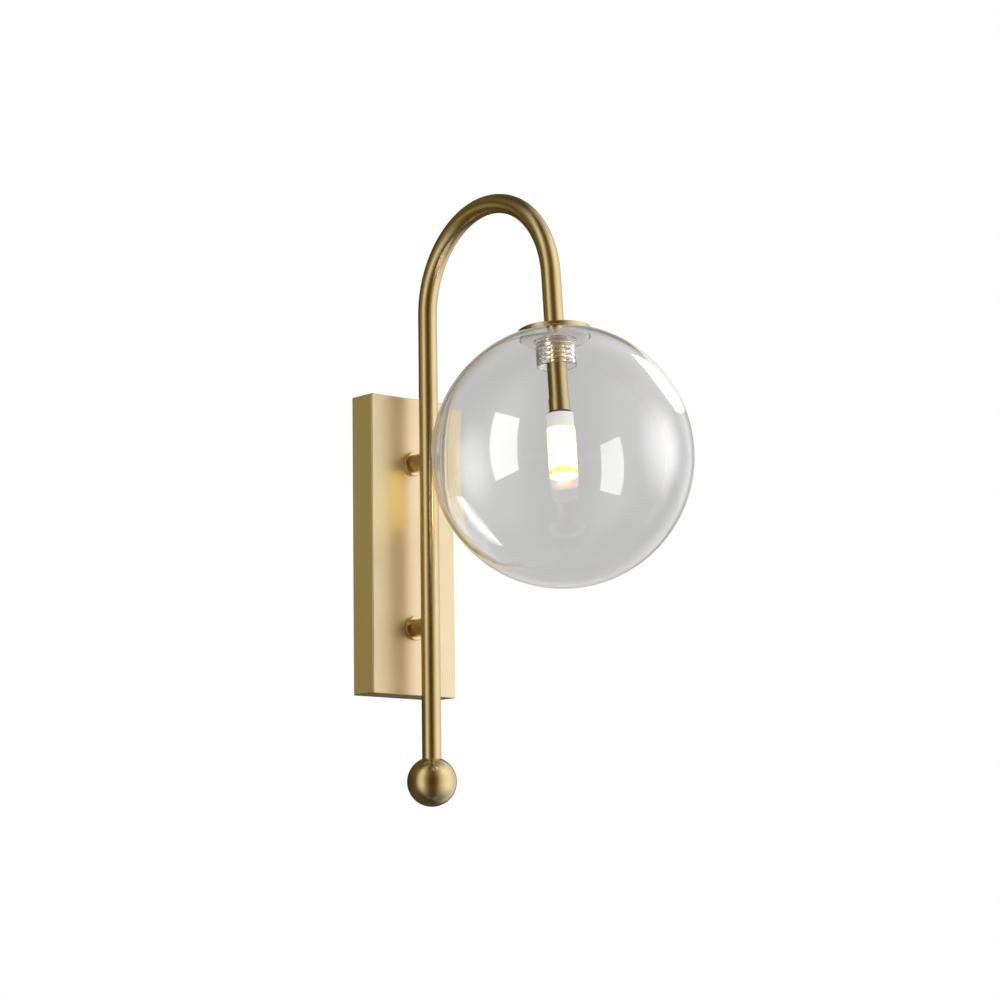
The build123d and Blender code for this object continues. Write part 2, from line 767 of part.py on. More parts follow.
with BuildPart() as driver_case:
    with BuildSketch(wall_plane(driver_base_front)):
        with Locations((0, driver_centre)):
            Rectangle(driver_width, driver_height)
    extrude(amount=driver_case_depth)
    fillet(driver_case.edges().filter_by(Axis.Y), radius=driver_corner_radius)
    with BuildSketch(wall_plane(driver_base_front)):
        with Locations((0, driver_centre)):
            Rectangle(driver_width - 2 * driver_wall, driver_height - 2 * driver_wall)
    extrude(amount=driver_case_depth - driver_wall, mode=Mode.SUBTRACT)
    with BuildSketch(Plane.XY.offset(driver_bottom)):
        with Locations((-pin_offset, -lamp_wire_distance), (pin_offset, -lamp_wire_distance)):
            Circle(wire_radius + thread_fit)
        with Locations(*[(side * mains_lead_offset, -mains_lead_distance) for side in (-1, 1)]):
            Circle(mains_lead_diameter / 2 + thread_fit)
    extrude(amount=driver_wall, mode=Mode.SUBTRACT)

with BuildPart() as driver_board:
    board_width = driver_width - 2 * (driver_wall + board_edge_gap)
    board_height = driver_height - 2 * (driver_wall + board_edge_gap)
    with BuildSketch(wall_plane(board_back)):
        with Locations((0, driver_centre)):
            Rectangle(board_width, board_height)
    extrude(amount=board_thickness)
    # Transformer and capacitor
    with BuildSketch(wall_plane(board_front)):
        with Locations((-board_width / 4, driver_centre + board_height / 5)):
            Rectangle(transformer_width, transformer_height)
        with Locations((board_width / 4, driver_centre + board_height / 5)):
            Circle(capacitor_diameter / 2)
    extrude(amount=component_thickness)
    # Output pads for the lamp wires, input pads for the mains leads
    with BuildSketch(wall_plane(board_front)):
        with Locations((0, pad_bottom + pad_height / 2)):
            Rectangle(output_pad_width, pad_height)
    extrude(amount=lamp_wire_distance + wire_radius - board_front)
    with BuildSketch(wall_plane(board_front)):
        with Locations(*[(side * mains_lead_offset, pad_bottom + pad_height / 2) for side in (-1, 1)]):
            Rectangle(mains_lead_diameter, pad_height)
    extrude(amount=mains_lead_distance + mains_lead_diameter / 2 - board_front)


def pan_screws(places, head_distance, tip_distance, diameter, head_diameter, head_height):
    """Screws that point at the wall, with a slot across each pan head."""
    with BuildPart() as screws:
        with BuildSketch(wall_plane(tip_distance)):
            with Locations(*places):
                Circle(diameter / 2)
        extrude(amount=head_distance - tip_distance)
        with BuildSketch(wall_plane(head_distance)):
            with Locations(*places):
                Circle(head_diameter / 2)
        extrude(amount=head_height)
        with BuildSketch(wall_plane(head_distance + head_height)):
            with Locations(*places):
                Rectangle(head_diameter, screw_slot_width)
        extrude(amount=-head_height / 3, mode=Mode.SUBTRACT)
    return screws


driver_screws = pan_screws(
    driver_screw_places,
    driver_base_front,
    0,
    small_screw_diameter,
    small_screw_head_diameter,
    small_screw_head_height,
)

# ---------------------------------------------------------------- terminal block
clamp_rows = [terminal_centre + side * terminal_height / 4 for side in (1, -1)]
clamp_places = [(x, z) for x in pole_places for z in clamp_rows]
terminal_front = bracket_sheet + terminal_depth
clamp_tip = terminal_wire_distance + mains_lead_diameter / 2 + thread_fit

with BuildPart() as terminal_block:
    with BuildSketch(wall_plane(bracket_sheet)):
        with Locations((0, terminal_centre)):
            Rectangle(terminal_width, terminal_height)
        with Locations(*terminal_screw_places):
            Circle(small_screw_diameter / 2 + slip_fit, mode=Mode.SUBTRACT)
    extrude(amount=terminal_depth)
    with BuildSketch(Plane.XY.offset(terminal_top)):
        with Locations(*[(x, -terminal_wire_distance) for x in pole_places]):
            Circle(terminal_bore_diameter / 2)
    extrude(amount=-terminal_height, mode=Mode.SUBTRACT)
    with BuildSketch(wall_plane(terminal_front)):
        with Locations(*clamp_places):
            Circle(terminal_screw_diameter / 2 + thread_fit)
    extrude(amount=-(terminal_front - terminal_wire_distance), mode=Mode.SUBTRACT)

with BuildPart() as terminal_clamp_screws:
    with BuildSketch(wall_plane(clamp_tip)):
        with Locations(*clamp_places):
            Circle(terminal_screw_diameter / 2)
    extrude(amount=terminal_front - terminal_screw_recess - clamp_tip)

terminal_fixing_screws = pan_screws(
    terminal_screw_places,
    terminal_front,
    0,
    small_screw_diameter,
    small_screw_head_diameter,
    small_screw_head_height,
)

# ---------------------------------------------------------------- earth point
ring_front = bracket_sheet + earth_ring_thickness
barrel_radius = mains_lead_diameter / 2 + earth_barrel_wall
barrel_top = earth_point_height - earth_screw_diameter / 2 - earth_ring_width + earth_barrel_wall
barrel_bottom = barrel_top - earth_barrel_length
barrel_distance = bracket_sheet + barrel_radius

earth_screw = pan_screws(
    ((earth_point_x, earth_point_height),),
    ring_front,
    0,
    earth_screw_diameter,
    earth_screw_head_diameter,
    earth_screw_head_height,
)

with BuildPart() as earth_ring_terminal:
    with BuildSketch(wall_plane(bracket_sheet)):
        with Locations((earth_point_x, earth_point_height)):
            Circle(earth_screw_diameter / 2 + earth_ring_width)
            Circle(earth_screw_diameter / 2 + slip_fit, mode=Mode.SUBTRACT)
    extrude(amount=earth_ring_thickness)
    with BuildSketch(Plane.XY.offset(barrel_top)):
        with Locations((earth_point_x, -barrel_distance)):
            Circle(barrel_radius)
    extrude(amount=-earth_barrel_length)
    with BuildSketch(Plane.XY.offset(barrel_bottom)):
        with Locations((earth_point_x, -barrel_distance)):
            Circle(mains_lead_diameter / 2 + thread_fit)
    extrude(amount=earth_barrel_length - earth_barrel_end, mode=Mode.SUBTRACT)


# ---------------------------------------------------------------- wires
def bend_radii(points):
    """The largest arc at each corner of a route that its two runs have room for."""
    radii = []
    for before, here, after in zip(points, points[1:], points[2:]):
        run_in = Vector(*here) - Vector(*before)
        run_out = Vector(*after) - Vector(*here)
        turn = radians(run_in.get_angle(run_out))
        radii.append(bend_share * min(run_in.length, run_out.length) / tan(turn / 2))
    return radii


def mains_lead(points):
    """Insulated lead along a route of straight runs and tangent arcs."""
    with BuildPart() as lead:
        with BuildLine() as route:
            FilletPolyline(*points, radius=bend_radii(points))
        swept_circle(route, mains_lead_diameter / 2)
    return lead, route


pole_end = terminal_top - lead_entry_depth
lead_start = pad_bottom - slip_fit

live_route = [
    (-mains_lead_offset, -mains_lead_distance, lead_start),
    (-mains_lead_offset - 0.5, -mains_lead_distance, 32.0),
    (-mains_lead_offset + 2.0, -terminal_wire_distance, -6.0),
    (pole_places[0] - 2.5, -terminal_wire_distance, -38.0),
    (pole_places[0], -terminal_wire_distance, terminal_top + 4.0),
    (pole_places[0], -terminal_wire_distance, pole_end),
]
neutral_route = [
    (mains_lead_offset, -mains_lead_distance, lead_start),
    (mains_lead_offset + 0.5, -mains_lead_distance, 32.0),
    (mains_lead_offset - 1.0, -terminal_wire_distance, -6.0),
    (pole_places[1] + 8.0, -terminal_wire_distance, -36.0),
    (pole_places[1], -terminal_wire_distance, terminal_top + 5.0),
    (pole_places[1], -terminal_wire_distance, pole_end),
]
earth_route = [
    (earth_point_x, -barrel_distance, barrel_bottom + 4.0),
    (earth_point_x, -barrel_distance, barrel_bottom - 2.5),
    (pole_places[2], -terminal_wire_distance, terminal_top + 4.0),
    (pole_places[2], -terminal_wire_distance, pole_end),
]
driver_lead_live, live_line = mains_lead(live_route)
driver_lead_neutral, neutral_line = mains_lead(neutral_route)
earth_lead, earth_line = mains_lead(earth_route)

inlet_radius = min(
    driver_bottom - upper_standoff_height,
    nipple_inner - bushing_flange_thickness - lamp_wire_distance - face_gap,
)


def lamp_wire(offset):
    """Thin wire from the driver through the upper standoff, up the arm, to the lampholder."""
    drop_end = upper_standoff_height + inlet_radius
    with BuildPart() as wire:
        with BuildLine(Plane.YZ.offset(offset)) as route:
            drop = Line((-lamp_wire_distance, pad_bottom), (-lamp_wire_distance, drop_end))
            inlet = JernArc(drop @ 1, drop % 1, inlet_radius, -90)
            through_end = Vector(offset, -arm_reach + lamp_wire_bend_radius, upper_standoff_height)
            through = Line(inlet @ 1, through_end)
            elbow = JernArc(through @ 1, through % 1, lamp_wire_bend_radius, -90)
            leg = Line(elbow @ 1, Vector(offset, -arm_reach, bend_start_height))
            arch = JernArc(leg @ 1, leg % 1, arch_radius, 180 - arch_opening_angle)
            Line(arch @ 1, (arch @ 1) + lamp_down * (lamp_leg_length - contact_end))
        swept_circle(route, wire_radius)
    return wire, route


lamp_wire_positive, positive_line = lamp_wire(pin_offset)
lamp_wire_negative, _ = lamp_wire(-pin_offset)

# ---------------------------------------------------------------- export
pieces = {
    "backplate_cover": backplate_cover,
    "cover_screws": cover_screws,
    "wall_bracket": wall_bracket,
    "cable_grommet": cable_grommet,
    "upper_standoff_flange": upper_standoff_flange,
    "lower_standoff_flange": lower_standoff_flange,
    "upper_standoff_post": upper_standoff_post,
    "lower_standoff_post": lower_standoff_post,
    "standoff_nipples": standoff_nipples,
    "standoff_washers": standoff_washers,
    "standoff_nuts": standoff_nuts,
    "wire_bushing": wire_bushing,
    "arm_tube": arm_tube,
    "ball_finial": ball_finial,
    "finial_stud": finial_stud,
    "lamp_nipple": lamp_nipple,
    "cap_disc": cap_disc,
    "threaded_boss": threaded_boss,
    "globe_seal": globe_seal,
    "glass_globe": glass_globe,
    "socket_tube": socket_tube,
    "socket_ferrule": socket_ferrule,
    "lampholder": lampholder,
    "lampholder_contacts": lampholder_contacts,
    "bulb_base": bulb_base,
    "bulb_pins": bulb_pins,
    "bulb_core": bulb_core,
    "bulb_cover": bulb_cover,
    "driver_base": driver_base,
    "driver_case": driver_case,
    "driver_board": driver_board,
    "driver_screws": driver_screws,
    "terminal_block": terminal_block,
    "terminal_clamp_screws": terminal_clamp_screws,
    "terminal_fixing_screws": terminal_fixing_screws,
    "earth_screw": earth_screw,
    "earth_ring_terminal": earth_ring_terminal,
    "earth_lead": earth_lead,
    "driver_lead_live": driver_lead_live,
    "driver_lead_neutral": driver_lead_neutral,
    "lamp_wire_positive": lamp_wire_positive,
    "lamp_wire_negative": lamp_wire_negative,
}

os.makedirs("parts", exist_ok=True)
for name, piece in pieces.items():
    piece.part.label = name
    export_step(piece.part, f"parts/{name}.step")

for name, points in (("live", live_route), ("neutral", neutral_route), ("earth", earth_route)):
    print(name, "lead bend radii", [round(radius, 1) for radius in bend_radii(points)])
for name, piece, line, radius in (
    ("live", driver_lead_live, live_line, mains_lead_diameter / 2),
    ("neutral", driver_lead_neutral, neutral_line, mains_lead_diameter / 2),
    ("earth", earth_lead, earth_line, mains_lead_diameter / 2),
    ("lamp wire", lamp_wire_positive, positive_line, wire_radius),
):
    length = sum(edge.length for edge in line.edges())
    fill = piece.part.volume / (pi * radius**2 * length)
    print(name, "length", round(length, 1), "volume over section times length", round(fill, 4))
print("arm end", arm_end, "globe centre", arm_end - lamp_down * globe_level)
print("holder face", holder_face, "bulb bottom", bulb_bottom, "land height", land_height)
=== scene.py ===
from math import acos, atan2, cos, degrees, pi, radians, sin, sqrt

import bpy
from bpy.props import FloatProperty, FloatVectorProperty, IntProperty, PointerProperty
from mathutils import Matrix, Vector


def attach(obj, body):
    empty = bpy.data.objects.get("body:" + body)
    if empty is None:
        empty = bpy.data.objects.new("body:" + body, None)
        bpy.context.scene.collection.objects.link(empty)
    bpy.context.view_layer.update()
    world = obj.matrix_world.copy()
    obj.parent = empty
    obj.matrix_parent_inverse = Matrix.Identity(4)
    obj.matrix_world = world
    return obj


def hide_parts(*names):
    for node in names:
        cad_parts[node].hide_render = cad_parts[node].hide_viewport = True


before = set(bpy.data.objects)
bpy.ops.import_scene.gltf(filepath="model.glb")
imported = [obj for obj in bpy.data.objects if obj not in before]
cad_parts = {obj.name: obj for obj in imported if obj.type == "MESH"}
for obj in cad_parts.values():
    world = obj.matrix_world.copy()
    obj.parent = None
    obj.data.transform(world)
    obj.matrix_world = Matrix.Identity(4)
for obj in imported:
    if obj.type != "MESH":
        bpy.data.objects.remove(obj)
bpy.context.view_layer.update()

bl_info = {
    "name": "Globe Wall Sconce",
    "version": (1, 0, 0),
    "blender": (4, 5, 0),
    "location": "View3D > Sidebar > Sconce",
    "description": "Finishes, bulb light, studio and camera for a brass wall sconce with a clear globe",
    "category": "Object",
}

WHITE = (1.0, 1.0, 1.0, 1.0)

# Places on the sconce, and the way in which its lamp points.
LAMP_DOWN = Vector((0.0, -0.069756, -0.997564))
ARM_END = Vector((0.0, -0.158274, 0.11557))
GLOBE_CENTRE = Vector((0.0, -0.163798, 0.036582))
ARCH_TOP = Vector((0.0, -0.096, 0.206))

# Heights over the arm's end along the lamp: the bulb's base, its cover and the post in the cover.
BASE_TOP = -0.0517
COVER_TOP = -0.0617
POST_FOOT = -0.0877
COVER_FOOT = -0.0922

# The way in which the photograph looks.
PHOTO_WAY = (0.638, 0.754, 0.159)

# Faces of the globe's half section: pole to equator, equator to ground top, and down the bore.
POLE_STEPS = 48
CROWN_STEPS = 36
BORE_STEPS = 150


# ---------------------------------------------------------------- what a user may change
def tint(name, words, value):
    """A colour that shows in the sidebar."""
    return FloatVectorProperty(
        name=name, description=words, subtype="COLOR", size=3, min=0.0, max=1.0, default=value
    )


def share(name, words, value, top=1.0):
    """A plain number from nothing to top."""
    return FloatProperty(name=name, description=words, min=0.0, max=top, default=value)


def length(name, words, value):
    """A length in metres."""
    return FloatProperty(
        name=name, description=words, subtype="DISTANCE", unit="LENGTH", precision=5, default=value
    )


class SconceBrass(bpy.types.PropertyGroup):
    """Satin brass of everything that shows outside the globe."""

    light_tone: tint("Light tone", "Brass where the brushing is fresh", (0.80, 0.635, 0.36))
    deep_tone: tint("Deep tone", "Brass where the lacquer has warmed it", (0.72, 0.555, 0.285))
    plate_light: tint("Plate light tone", "Paler brass of the backplate, fresh", (0.965, 0.80, 0.53))
    plate_deep: tint("Plate deep tone", "Paler brass of the backplate, warmed", (0.93, 0.765, 0.485))
    plate_roughness: share("Plate roughness", "How much the backplate spreads its reflections", 0.47)
    tube_roughness: share("Tube roughness", "How much the arm spreads its reflections", 0.21)
    ball_roughness: share("Ball roughness", "How much the ball finial spreads its reflections", 0.17)
    lacquer: share("Lacquer", "Strength of the clear coat over the brass", 0.1)
    line_width: length("Line width", "Width of the brushing lines", 0.0004)
    line_depth: length("Line depth", "Depth of the brushing lines", 0.000003)


class SconceGlass(bpy.types.PropertyGroup):
    """Shape and colour of the clear glass globe."""

    body_tint: tint("Body tint", "Light that one wall of the globe lets through", (0.975, 0.975, 0.97))
    bend: share("Refractive index", "How much the glass bends light", 1.5, 2.5)
    radius: length("Radius", "Outer radius of the globe", 0.079)
    wall: length("Wall", "Thickness of the blown wall", 0.002)
    stretch: length("Crown stretch", "How much larger the upper half's arc is", 0.0015)
    land: length("Land radius", "Radius of the flat ground top", 0.023)
    land_edge: length("Land edge", "Rounding of the ground top's edge", 0.002)
    collar: length("Collar radius", "Radius of the thick ring under the top", 0.0208)
    collar_depth: length("Collar depth", "Thickness of the ring under the top", 0.0045)
    neck: length("Neck radius", "Outer radius of the threaded neck", 0.0123)
    neck_length: length("Neck length", "Length of the neck below the ground top", 0.0204)
    root: length("Root radius", "Rounding between ring and neck", 0.0025)
    rim: length("Rim radius", "Rounding of the neck's lower edge", 0.0004)
    bore: length("Bore radius", "Inner radius of the neck between the threads", 0.0108)
    pitch: length("Thread pitch", "Rise of the thread in one turn", 0.003)
    thread_height: length("Thread height", "How far the thread stands into the bore", 0.001)
    thread_crest: length("Thread crest", "Width of the thread at its top", 0.0008)
    thread_root: length("Thread root", "Width of the thread at its foot", 0.0014)
    thread_start: length("Thread start", "Lowest turn's place below the arm's end", 0.0207)
    thread_turns: share("Thread turns", "Turns of the thread in the neck", 5.5, 20.0)
    around: IntProperty(name="Sides", description="Faces round the globe", min=48, max=512, default=192)


class SconceBulb(bpy.types.PropertyGroup):
    """The lit plug-in bulb."""

    hot: tint("Hot light", "Light of the chips on the post inside the bulb", (1.0, 0.93, 0.78))
    warm: tint("Warm light", "Light of the bulb's cover", (1.0, 0.83, 0.48))
    post_strength: share("Post strength", "Brightness of the post inside the bulb", 8.0, 50.0)
    cover_strength: share("Cover strength", "Brightness of the bulb's cover", 0.55, 50.0)
    base_strength: share("Base strength", "Light that leaks into the bulb's white base", 0.27, 50.0)


class SconceStage(bpy.types.PropertyGroup):
    """Floor, surroundings and lamps."""

    floor_height: length("Floor height", "Height of the floor under the wall plate's centre", -0.55)
    floor_tone: tint("Floor tone", "Colour of the floor", (0.86, 0.86, 0.85))
    soft_level: share("Soft level", "Even light from all round", 0.7, 4.0)
    behind_glass: share("Behind the glass", "How light the studio's paper is where the globe shows it", 0.60)
    window_level: share("Window level", "Brightness of the panel that the globe mirrors twice", 3.8, 50.0)
    band_level: share("Band level", "Brightness of the panel behind the globe's white band", 5.0, 50.0)
    rim_level: share("Rim level", "Brightness of the paper that the globe's rim mirrors", 0.8, 50.0)
    top_level: share("Top level", "Brightness of the paper above that the globe's top mirrors", 0.8, 50.0)
    arch_level: share("Arch level", "Brightness of the panel behind the light line on the arch", 0.22, 50.0)
    glow_level: share("Glow level", "Brightness of the soft panel behind the globe's two glows", 3.0, 50.0)
    side_level: share("Side level", "Brightness of the panel that the backplate's side mirrors", 0.09, 50.0)
    bulb_level: share("Bulb level", "Brightness of the bulb's warm patch on the backplate", 0.42, 50.0)
    fill_level: share("Fill level", "Dim light that the gloss shows from above and from below", 0.055)
    key_power: FloatProperty(
        name="Key power",
        description="Power of the lamp that casts the floor's shadow",
        unit="POWER",
        default=9.0,
    )


class SconceCamera(bpy.types.PropertyGroup):
    """Camera that took the photograph, as fitted to the outlines."""

    lens: FloatProperty(name="Lens", description="Focal length in millimetres", default=110.374)
    distance: length("Distance", "From the aim to the camera", 1.939704)
    azimuth: FloatProperty(
        name="Azimuth", description="Turn round the object", subtype="ANGLE", default=radians(-40.234)
    )
    elevation: FloatProperty(
        name="Elevation", description="Height above the horizon", subtype="ANGLE", default=radians(-9.151)
    )
    roll: FloatProperty(
        name="Roll", description="Tilt about the view", subtype="ANGLE", default=radians(-0.767)
    )
    aim: FloatVectorProperty(
        name="Aim",
        description="Point in the middle of the picture",
        subtype="TRANSLATION",
        unit="LENGTH",
        default=(0.038131, -0.06, 0.027808),
    )


# ---------------------------------------------------------------- shader nodes
def put(tree, kind, sockets=None, **settings):
    """A node in a tree, with its settings, and its sockets set to values or joined to outputs."""
    node = tree.nodes.new(kind)
    for name, value in settings.items():
        setattr(node, name, value)
    for name, value in (sockets or {}).items():
        if isinstance(value, bpy.types.NodeSocket):
            tree.links.new(value, node.inputs[name])
        else:
            node.inputs[name].default_value = value
    return node


def calculated(tree, operation, *values, **settings):
    """The result of a sum on up to three numbers."""
    sockets = dict(enumerate(values))
    return put(tree, "ShaderNodeMath", sockets, operation=operation, **settings).outputs["Value"]


def either(tree, share_of_second, first, second):
    """Two shaders mixed by a value."""
    sockets = {0: share_of_second, 1: first, 2: second}
    return put(tree, "ShaderNodeMixShader", sockets).outputs["Shader"]


def both(tree, first, second):
    """Two shaders added up."""
    return put(tree, "ShaderNodeAddShader", {0: first, 1: second}).outputs["Shader"]


def solid(colour):
    """A colour with full cover."""
    return (*colour[:3], 1.0)


def bare_material(name):
    """An empty node material and its tree."""
    material = bpy.data.materials.new(name)
    material.use_nodes = True
    material.node_tree.nodes.clear()
    return material, material.node_tree


def finish_with(tree, shader):
    """Joins a shader to the material's output."""
    put(tree, "ShaderNodeOutputMaterial", {"Surface": shader})


def surface(tree, sockets):
    """Joins a principled shader with these sockets to the material's output."""
    finish_with(tree, put(tree, "ShaderNodeBsdfPrincipled", sockets).outputs["BSDF"])


def place_on_piece(tree, stretch=(1, 1, 1)):
    """Places on the piece in metres, stretched along its axes."""
    here = put(tree, "ShaderNodeTexCoord")
    return put(
        tree, "ShaderNodeMapping", {"Vector": here.outputs["Object"], "Scale": stretch}
    ).outputs["Vector"]


def speckle(tree, where, scale, detail=3.0, roughness=0.5):
    """Soft noise between 0 and 1."""
    return put(
        tree,
        "ShaderNodeTexNoise",
        {"Vector": where, "Scale": scale, "Detail": detail, "Roughness": roughness},
    ).outputs["Fac"]


def spread(tree, value, low, high, start=0.3, end=0.7):
    """A value stretched between two others."""
    return put(
        tree,
        "ShaderNodeMapRange",
        {"Value": value, "From Min": start, "From Max": end, "To Min": low, "To Max": high},
    ).outputs["Result"]


def blend_tones(tree, share_of_second, first, second):
    """Two colours mixed by a value."""
    mix = tree.nodes.new("ShaderNodeMix")
    mix.data_type = "RGBA"
    tree.links.new(share_of_second, mix.inputs[0])
    mix.inputs[6].default_value = solid(first)
    mix.inputs[7].default_value = solid(second)
    return mix.outputs[2]


def raised(tree, height, depth, strength=1.0):
    """Surface lines and grains as a normal."""
    return put(
        tree, "ShaderNodeBump", {"Height": height, "Distance": depth, "Strength": strength}
    ).outputs["Normal"]


# ---------------------------------------------------------------- brass
def satin_brass(name, roughness, grain, tones=None):
    """Brushed and lacquered brass. The grain stretches the brushing lines along the axes."""
    look = bpy.context.scene.sconce_brass
    light_tone, deep_tone = tones or (look.light_tone, look.deep_tone)
    material, tree = bare_material(name)
    lines = speckle(tree, place_on_piece(tree, grain), 1.0 / look.line_width, 2.0, 0.6)
    clouds = speckle(tree, place_on_piece(tree), 22.0, 3.0)
    tone = blend_tones(tree, spread(tree, clouds, 0.0, 1.0), light_tone, deep_tone)
    surface(tree, {
        "Base Color": tone,
        "Metallic": 1.0,
        "Roughness": spread(tree, lines, roughness - 0.04, roughness + 0.05),
        "Normal": raised(tree, lines, look.line_depth, 0.6),
        "Coat Weight": look.lacquer,
        "Coat Roughness": 0.12,
    })
    return material


def turned_brass():
    """Bare brass with fine turning marks."""
    look = bpy.context.scene.sconce_brass
    material, tree = bare_material("turned_brass")
    marks = speckle(tree, place_on_piece(tree, (1, 1, 9)), 900.0, 2.0)
    tone = blend_tones(tree, spread(tree, marks, 0.0, 1.0), look.light_tone, look.deep_tone)
    surface(tree, {
        "Base Color": tone,
        "Metallic": 1.0,
        "Roughness": spread(tree, marks, 0.2, 0.32),
        "Normal": raised(tree, marks, 0.00001, 0.5),
    })
    return material


def zinc_plate():
    """Zinc-plated steel with a cloudy crystal bloom."""
    material, tree = bare_material("zinc_plate")
    bloom = put(
        tree, "ShaderNodeTexVoronoi", {"Vector": place_on_piece(tree), "Scale": 420.0}
    ).outputs["Distance"]
    haze = speckle(tree, place_on_piece(tree), 90.0)
    tone = blend_tones(tree, spread(tree, haze, 0.0, 1.0), (0.56, 0.57, 0.58), (0.46, 0.47, 0.47))
    surface(tree, {
        "Base Color": tone,
        "Metallic": 1.0,
        "Roughness": spread(tree, bloom, 0.26, 0.42, 0.0, 0.8),
        "Normal": raised(tree, bloom, 0.000006, 0.4),
    })
    return material


# ---------------------------------------------------------------- glass and seal
def globe_glass():
    """Clear blown glass. The lamps' light passes it, and light that the far wall has mirrored leaves
    by the near wall unbent, which keeps that mirror image clean."""
    look = bpy.context.scene.sconce_glass
    material, tree = bare_material("globe_glass")
    haze = speckle(tree, place_on_piece(tree), 60.0, 2.0)
    sockets = {
        "Base Color": solid(look.body_tint),
        "Roughness": spread(tree, haze, 0.0, 0.004),
        "IOR": look.bend,
        "Transmission Weight": 1.0,
    }
    glass = put(tree, "ShaderNodeBsdfPrincipled", sockets).outputs["BSDF"]
    open_way = put(tree, "ShaderNodeBsdfTransparent", {"Color": (0.95, 0.95, 0.95, 1.0)}).outputs["BSDF"]
    path = put(tree, "ShaderNodeLightPath").outputs
    inside_globe = calculated(tree, "COMPARE", path["Transmission Depth"], 2.0, 0.5)
    let_out = either(tree, inside_globe, glass, open_way)
    seen = either(tree, path["Is Reflection Ray"], glass, let_out)
    finish_with(tree, either(tree, path["Is Shadow Ray"], seen, open_way))
    return material


def clear_silicone():
    """Milky silicone of the seal. Its faint glow stands in for the bulb's light in it."""
    material, tree = bare_material("clear_silicone")
    grains = speckle(tree, place_on_piece(tree), 900.0)
    surface(tree, {
        "Base Color": blend_tones(tree, grains, (0.93, 0.93, 0.91), (0.86, 0.86, 0.84)),
        "Roughness": 0.35,
        "Transmission Weight": 0.1,
        "Emission Color": (1.0, 0.975, 0.95, 1.0),
        "Emission Strength": 0.2,
        "Normal": raised(tree, grains, 0.00002, 0.3),
    })
    return material


# ---------------------------------------------------------------- bulb
def lamp_height(tree):
    """Height above the arm's end along the lamp, in metres."""
    here = put(tree, "ShaderNodeTexCoord").outputs["Object"]
    from_end = put(tree, "ShaderNodeVectorMath", {0: here, 1: ARM_END}, operation="SUBTRACT")
    sockets = {0: from_end.outputs["Vector"], 1: -LAMP_DOWN}
    return put(tree, "ShaderNodeVectorMath", sockets, operation="DOT_PRODUCT").outputs["Value"]


def ramp_of(tree, value, stops):
    """A colour for each of several places between 0 and 1."""
    ramp = put(tree, "ShaderNodeValToRGB", {"Fac": value})
    points = ramp.color_ramp.elements
    while len(points) < len(stops):
        points.new(0.5)
    for point, stop in zip(points, stops):
        point.position = stop[0]
    for point, stop in zip(points, stops):
        point.color = solid(stop[1])
    return ramp.outputs["Color"]


def bulb_white():
    """White translucent plastic of the bulb's base. Its glow stands in for light leaking in from below, and
    its top is painted nearly black as painted shade of the gap under the ferrule.
    """
    look = bpy.context.scene.sconce_bulb
    material, tree = bare_material("bulb_white")
    level = spread(tree, lamp_height(tree), 0.0, 1.0, BASE_TOP, COVER_TOP)
    grains = speckle(tree, place_on_piece(tree), 1200.0)
    glow = ramp_of(
        tree,
        level,
        [
            (0.0, (0.0, 0.0, 0.0)),
            (0.07, (0.02, 0.02, 0.02)),
            (0.1, (0.75, 0.72, 0.74)),
            (0.55, (0.95, 0.90, 0.88)),
            (1.0, (1.0, 0.95, 0.78)),
        ],
    )
    # Painted shade: the top of the base is painted nearly black and gives no glow, standing in for the
    # shaded gap under the ferrule.
    painted_gap_shade = (0.03, 0.024, 0.02)
    ring = ramp_of(tree, level, [(0.0, painted_gap_shade), (0.07, painted_gap_shade), (0.1, (0.84, 0.81, 0.79))])
    surface(tree, {
        "Base Color": ring,
        "Roughness": 0.3,
        "Normal": raised(tree, grains, 0.00001, 0.2),
        "Emission Color": glow,
        "Emission Strength": look.base_strength,
    })
    return material


def bulb_glow():
    """Ribbed clear cover of the bulb: it glows warm and lets the hot post show."""
    look = bpy.context.scene.sconce_bulb
    material, tree = bare_material("bulb_glow")
    level = spread(tree, lamp_height(tree), 0.0, 1.0, COVER_TOP, COVER_FOOT)
    glow = ramp_of(
        tree,
        level,
        [
            (0.0, (0.62, 0.52, 0.40)),
            (0.08, (1.0, 0.84, 0.52)),
            (0.82, (1.0, 0.84, 0.50)),
            (0.85, (0.30, 0.19, 0.03)),
            (0.91, (0.30, 0.19, 0.03)),
            (0.94, (1.0, 0.93, 0.78)),
            (1.0, (1.0, 0.97, 0.90)),
        ],
    )
    grains = speckle(tree, place_on_piece(tree, (1, 1, 0.05)), 700.0, 2.0)
    surface(tree, {
        "Base Color": solid(look.warm),
        "Roughness": spread(tree, grains, 0.12, 0.3),
        "IOR": 1.3,
        "Transmission Weight": 0.85,
        "Normal": raised(tree, grains, 0.00008, 0.4),
        "Emission Color": glow,
        "Emission Strength": spread(tree, grains, 0.6 * look.cover_strength, 1.8 * look.cover_strength),
    })
    return material


def bulb_post():
    """The post with its chips, lit down to its darker foot."""
    look = bpy.context.scene.sconce_bulb
    material, tree = bare_material("bulb_post")
    level = spread(tree, lamp_height(tree), 0.0, 1.0, COVER_TOP, POST_FOOT)
    glow = ramp_of(
        tree,
        level,
        [
            (0.0, (0.3, 0.26, 0.18)),
            (0.14, look.hot),
            (0.84, look.hot),
            (0.9, (0.085, 0.048, 0.004)),
            (1.0, (0.085, 0.048, 0.004)),
        ],
    )
    rows = speckle(tree, place_on_piece(tree), 300.0, 2.0)
    surface(tree, {
        "Base Color": blend_tones(tree, rows, (0.95, 0.86, 0.5), (0.9, 0.8, 0.42)),
        "Roughness": 0.6,
        "Emission Color": glow,
        "Emission Strength": look.post_strength,
    })
    return material


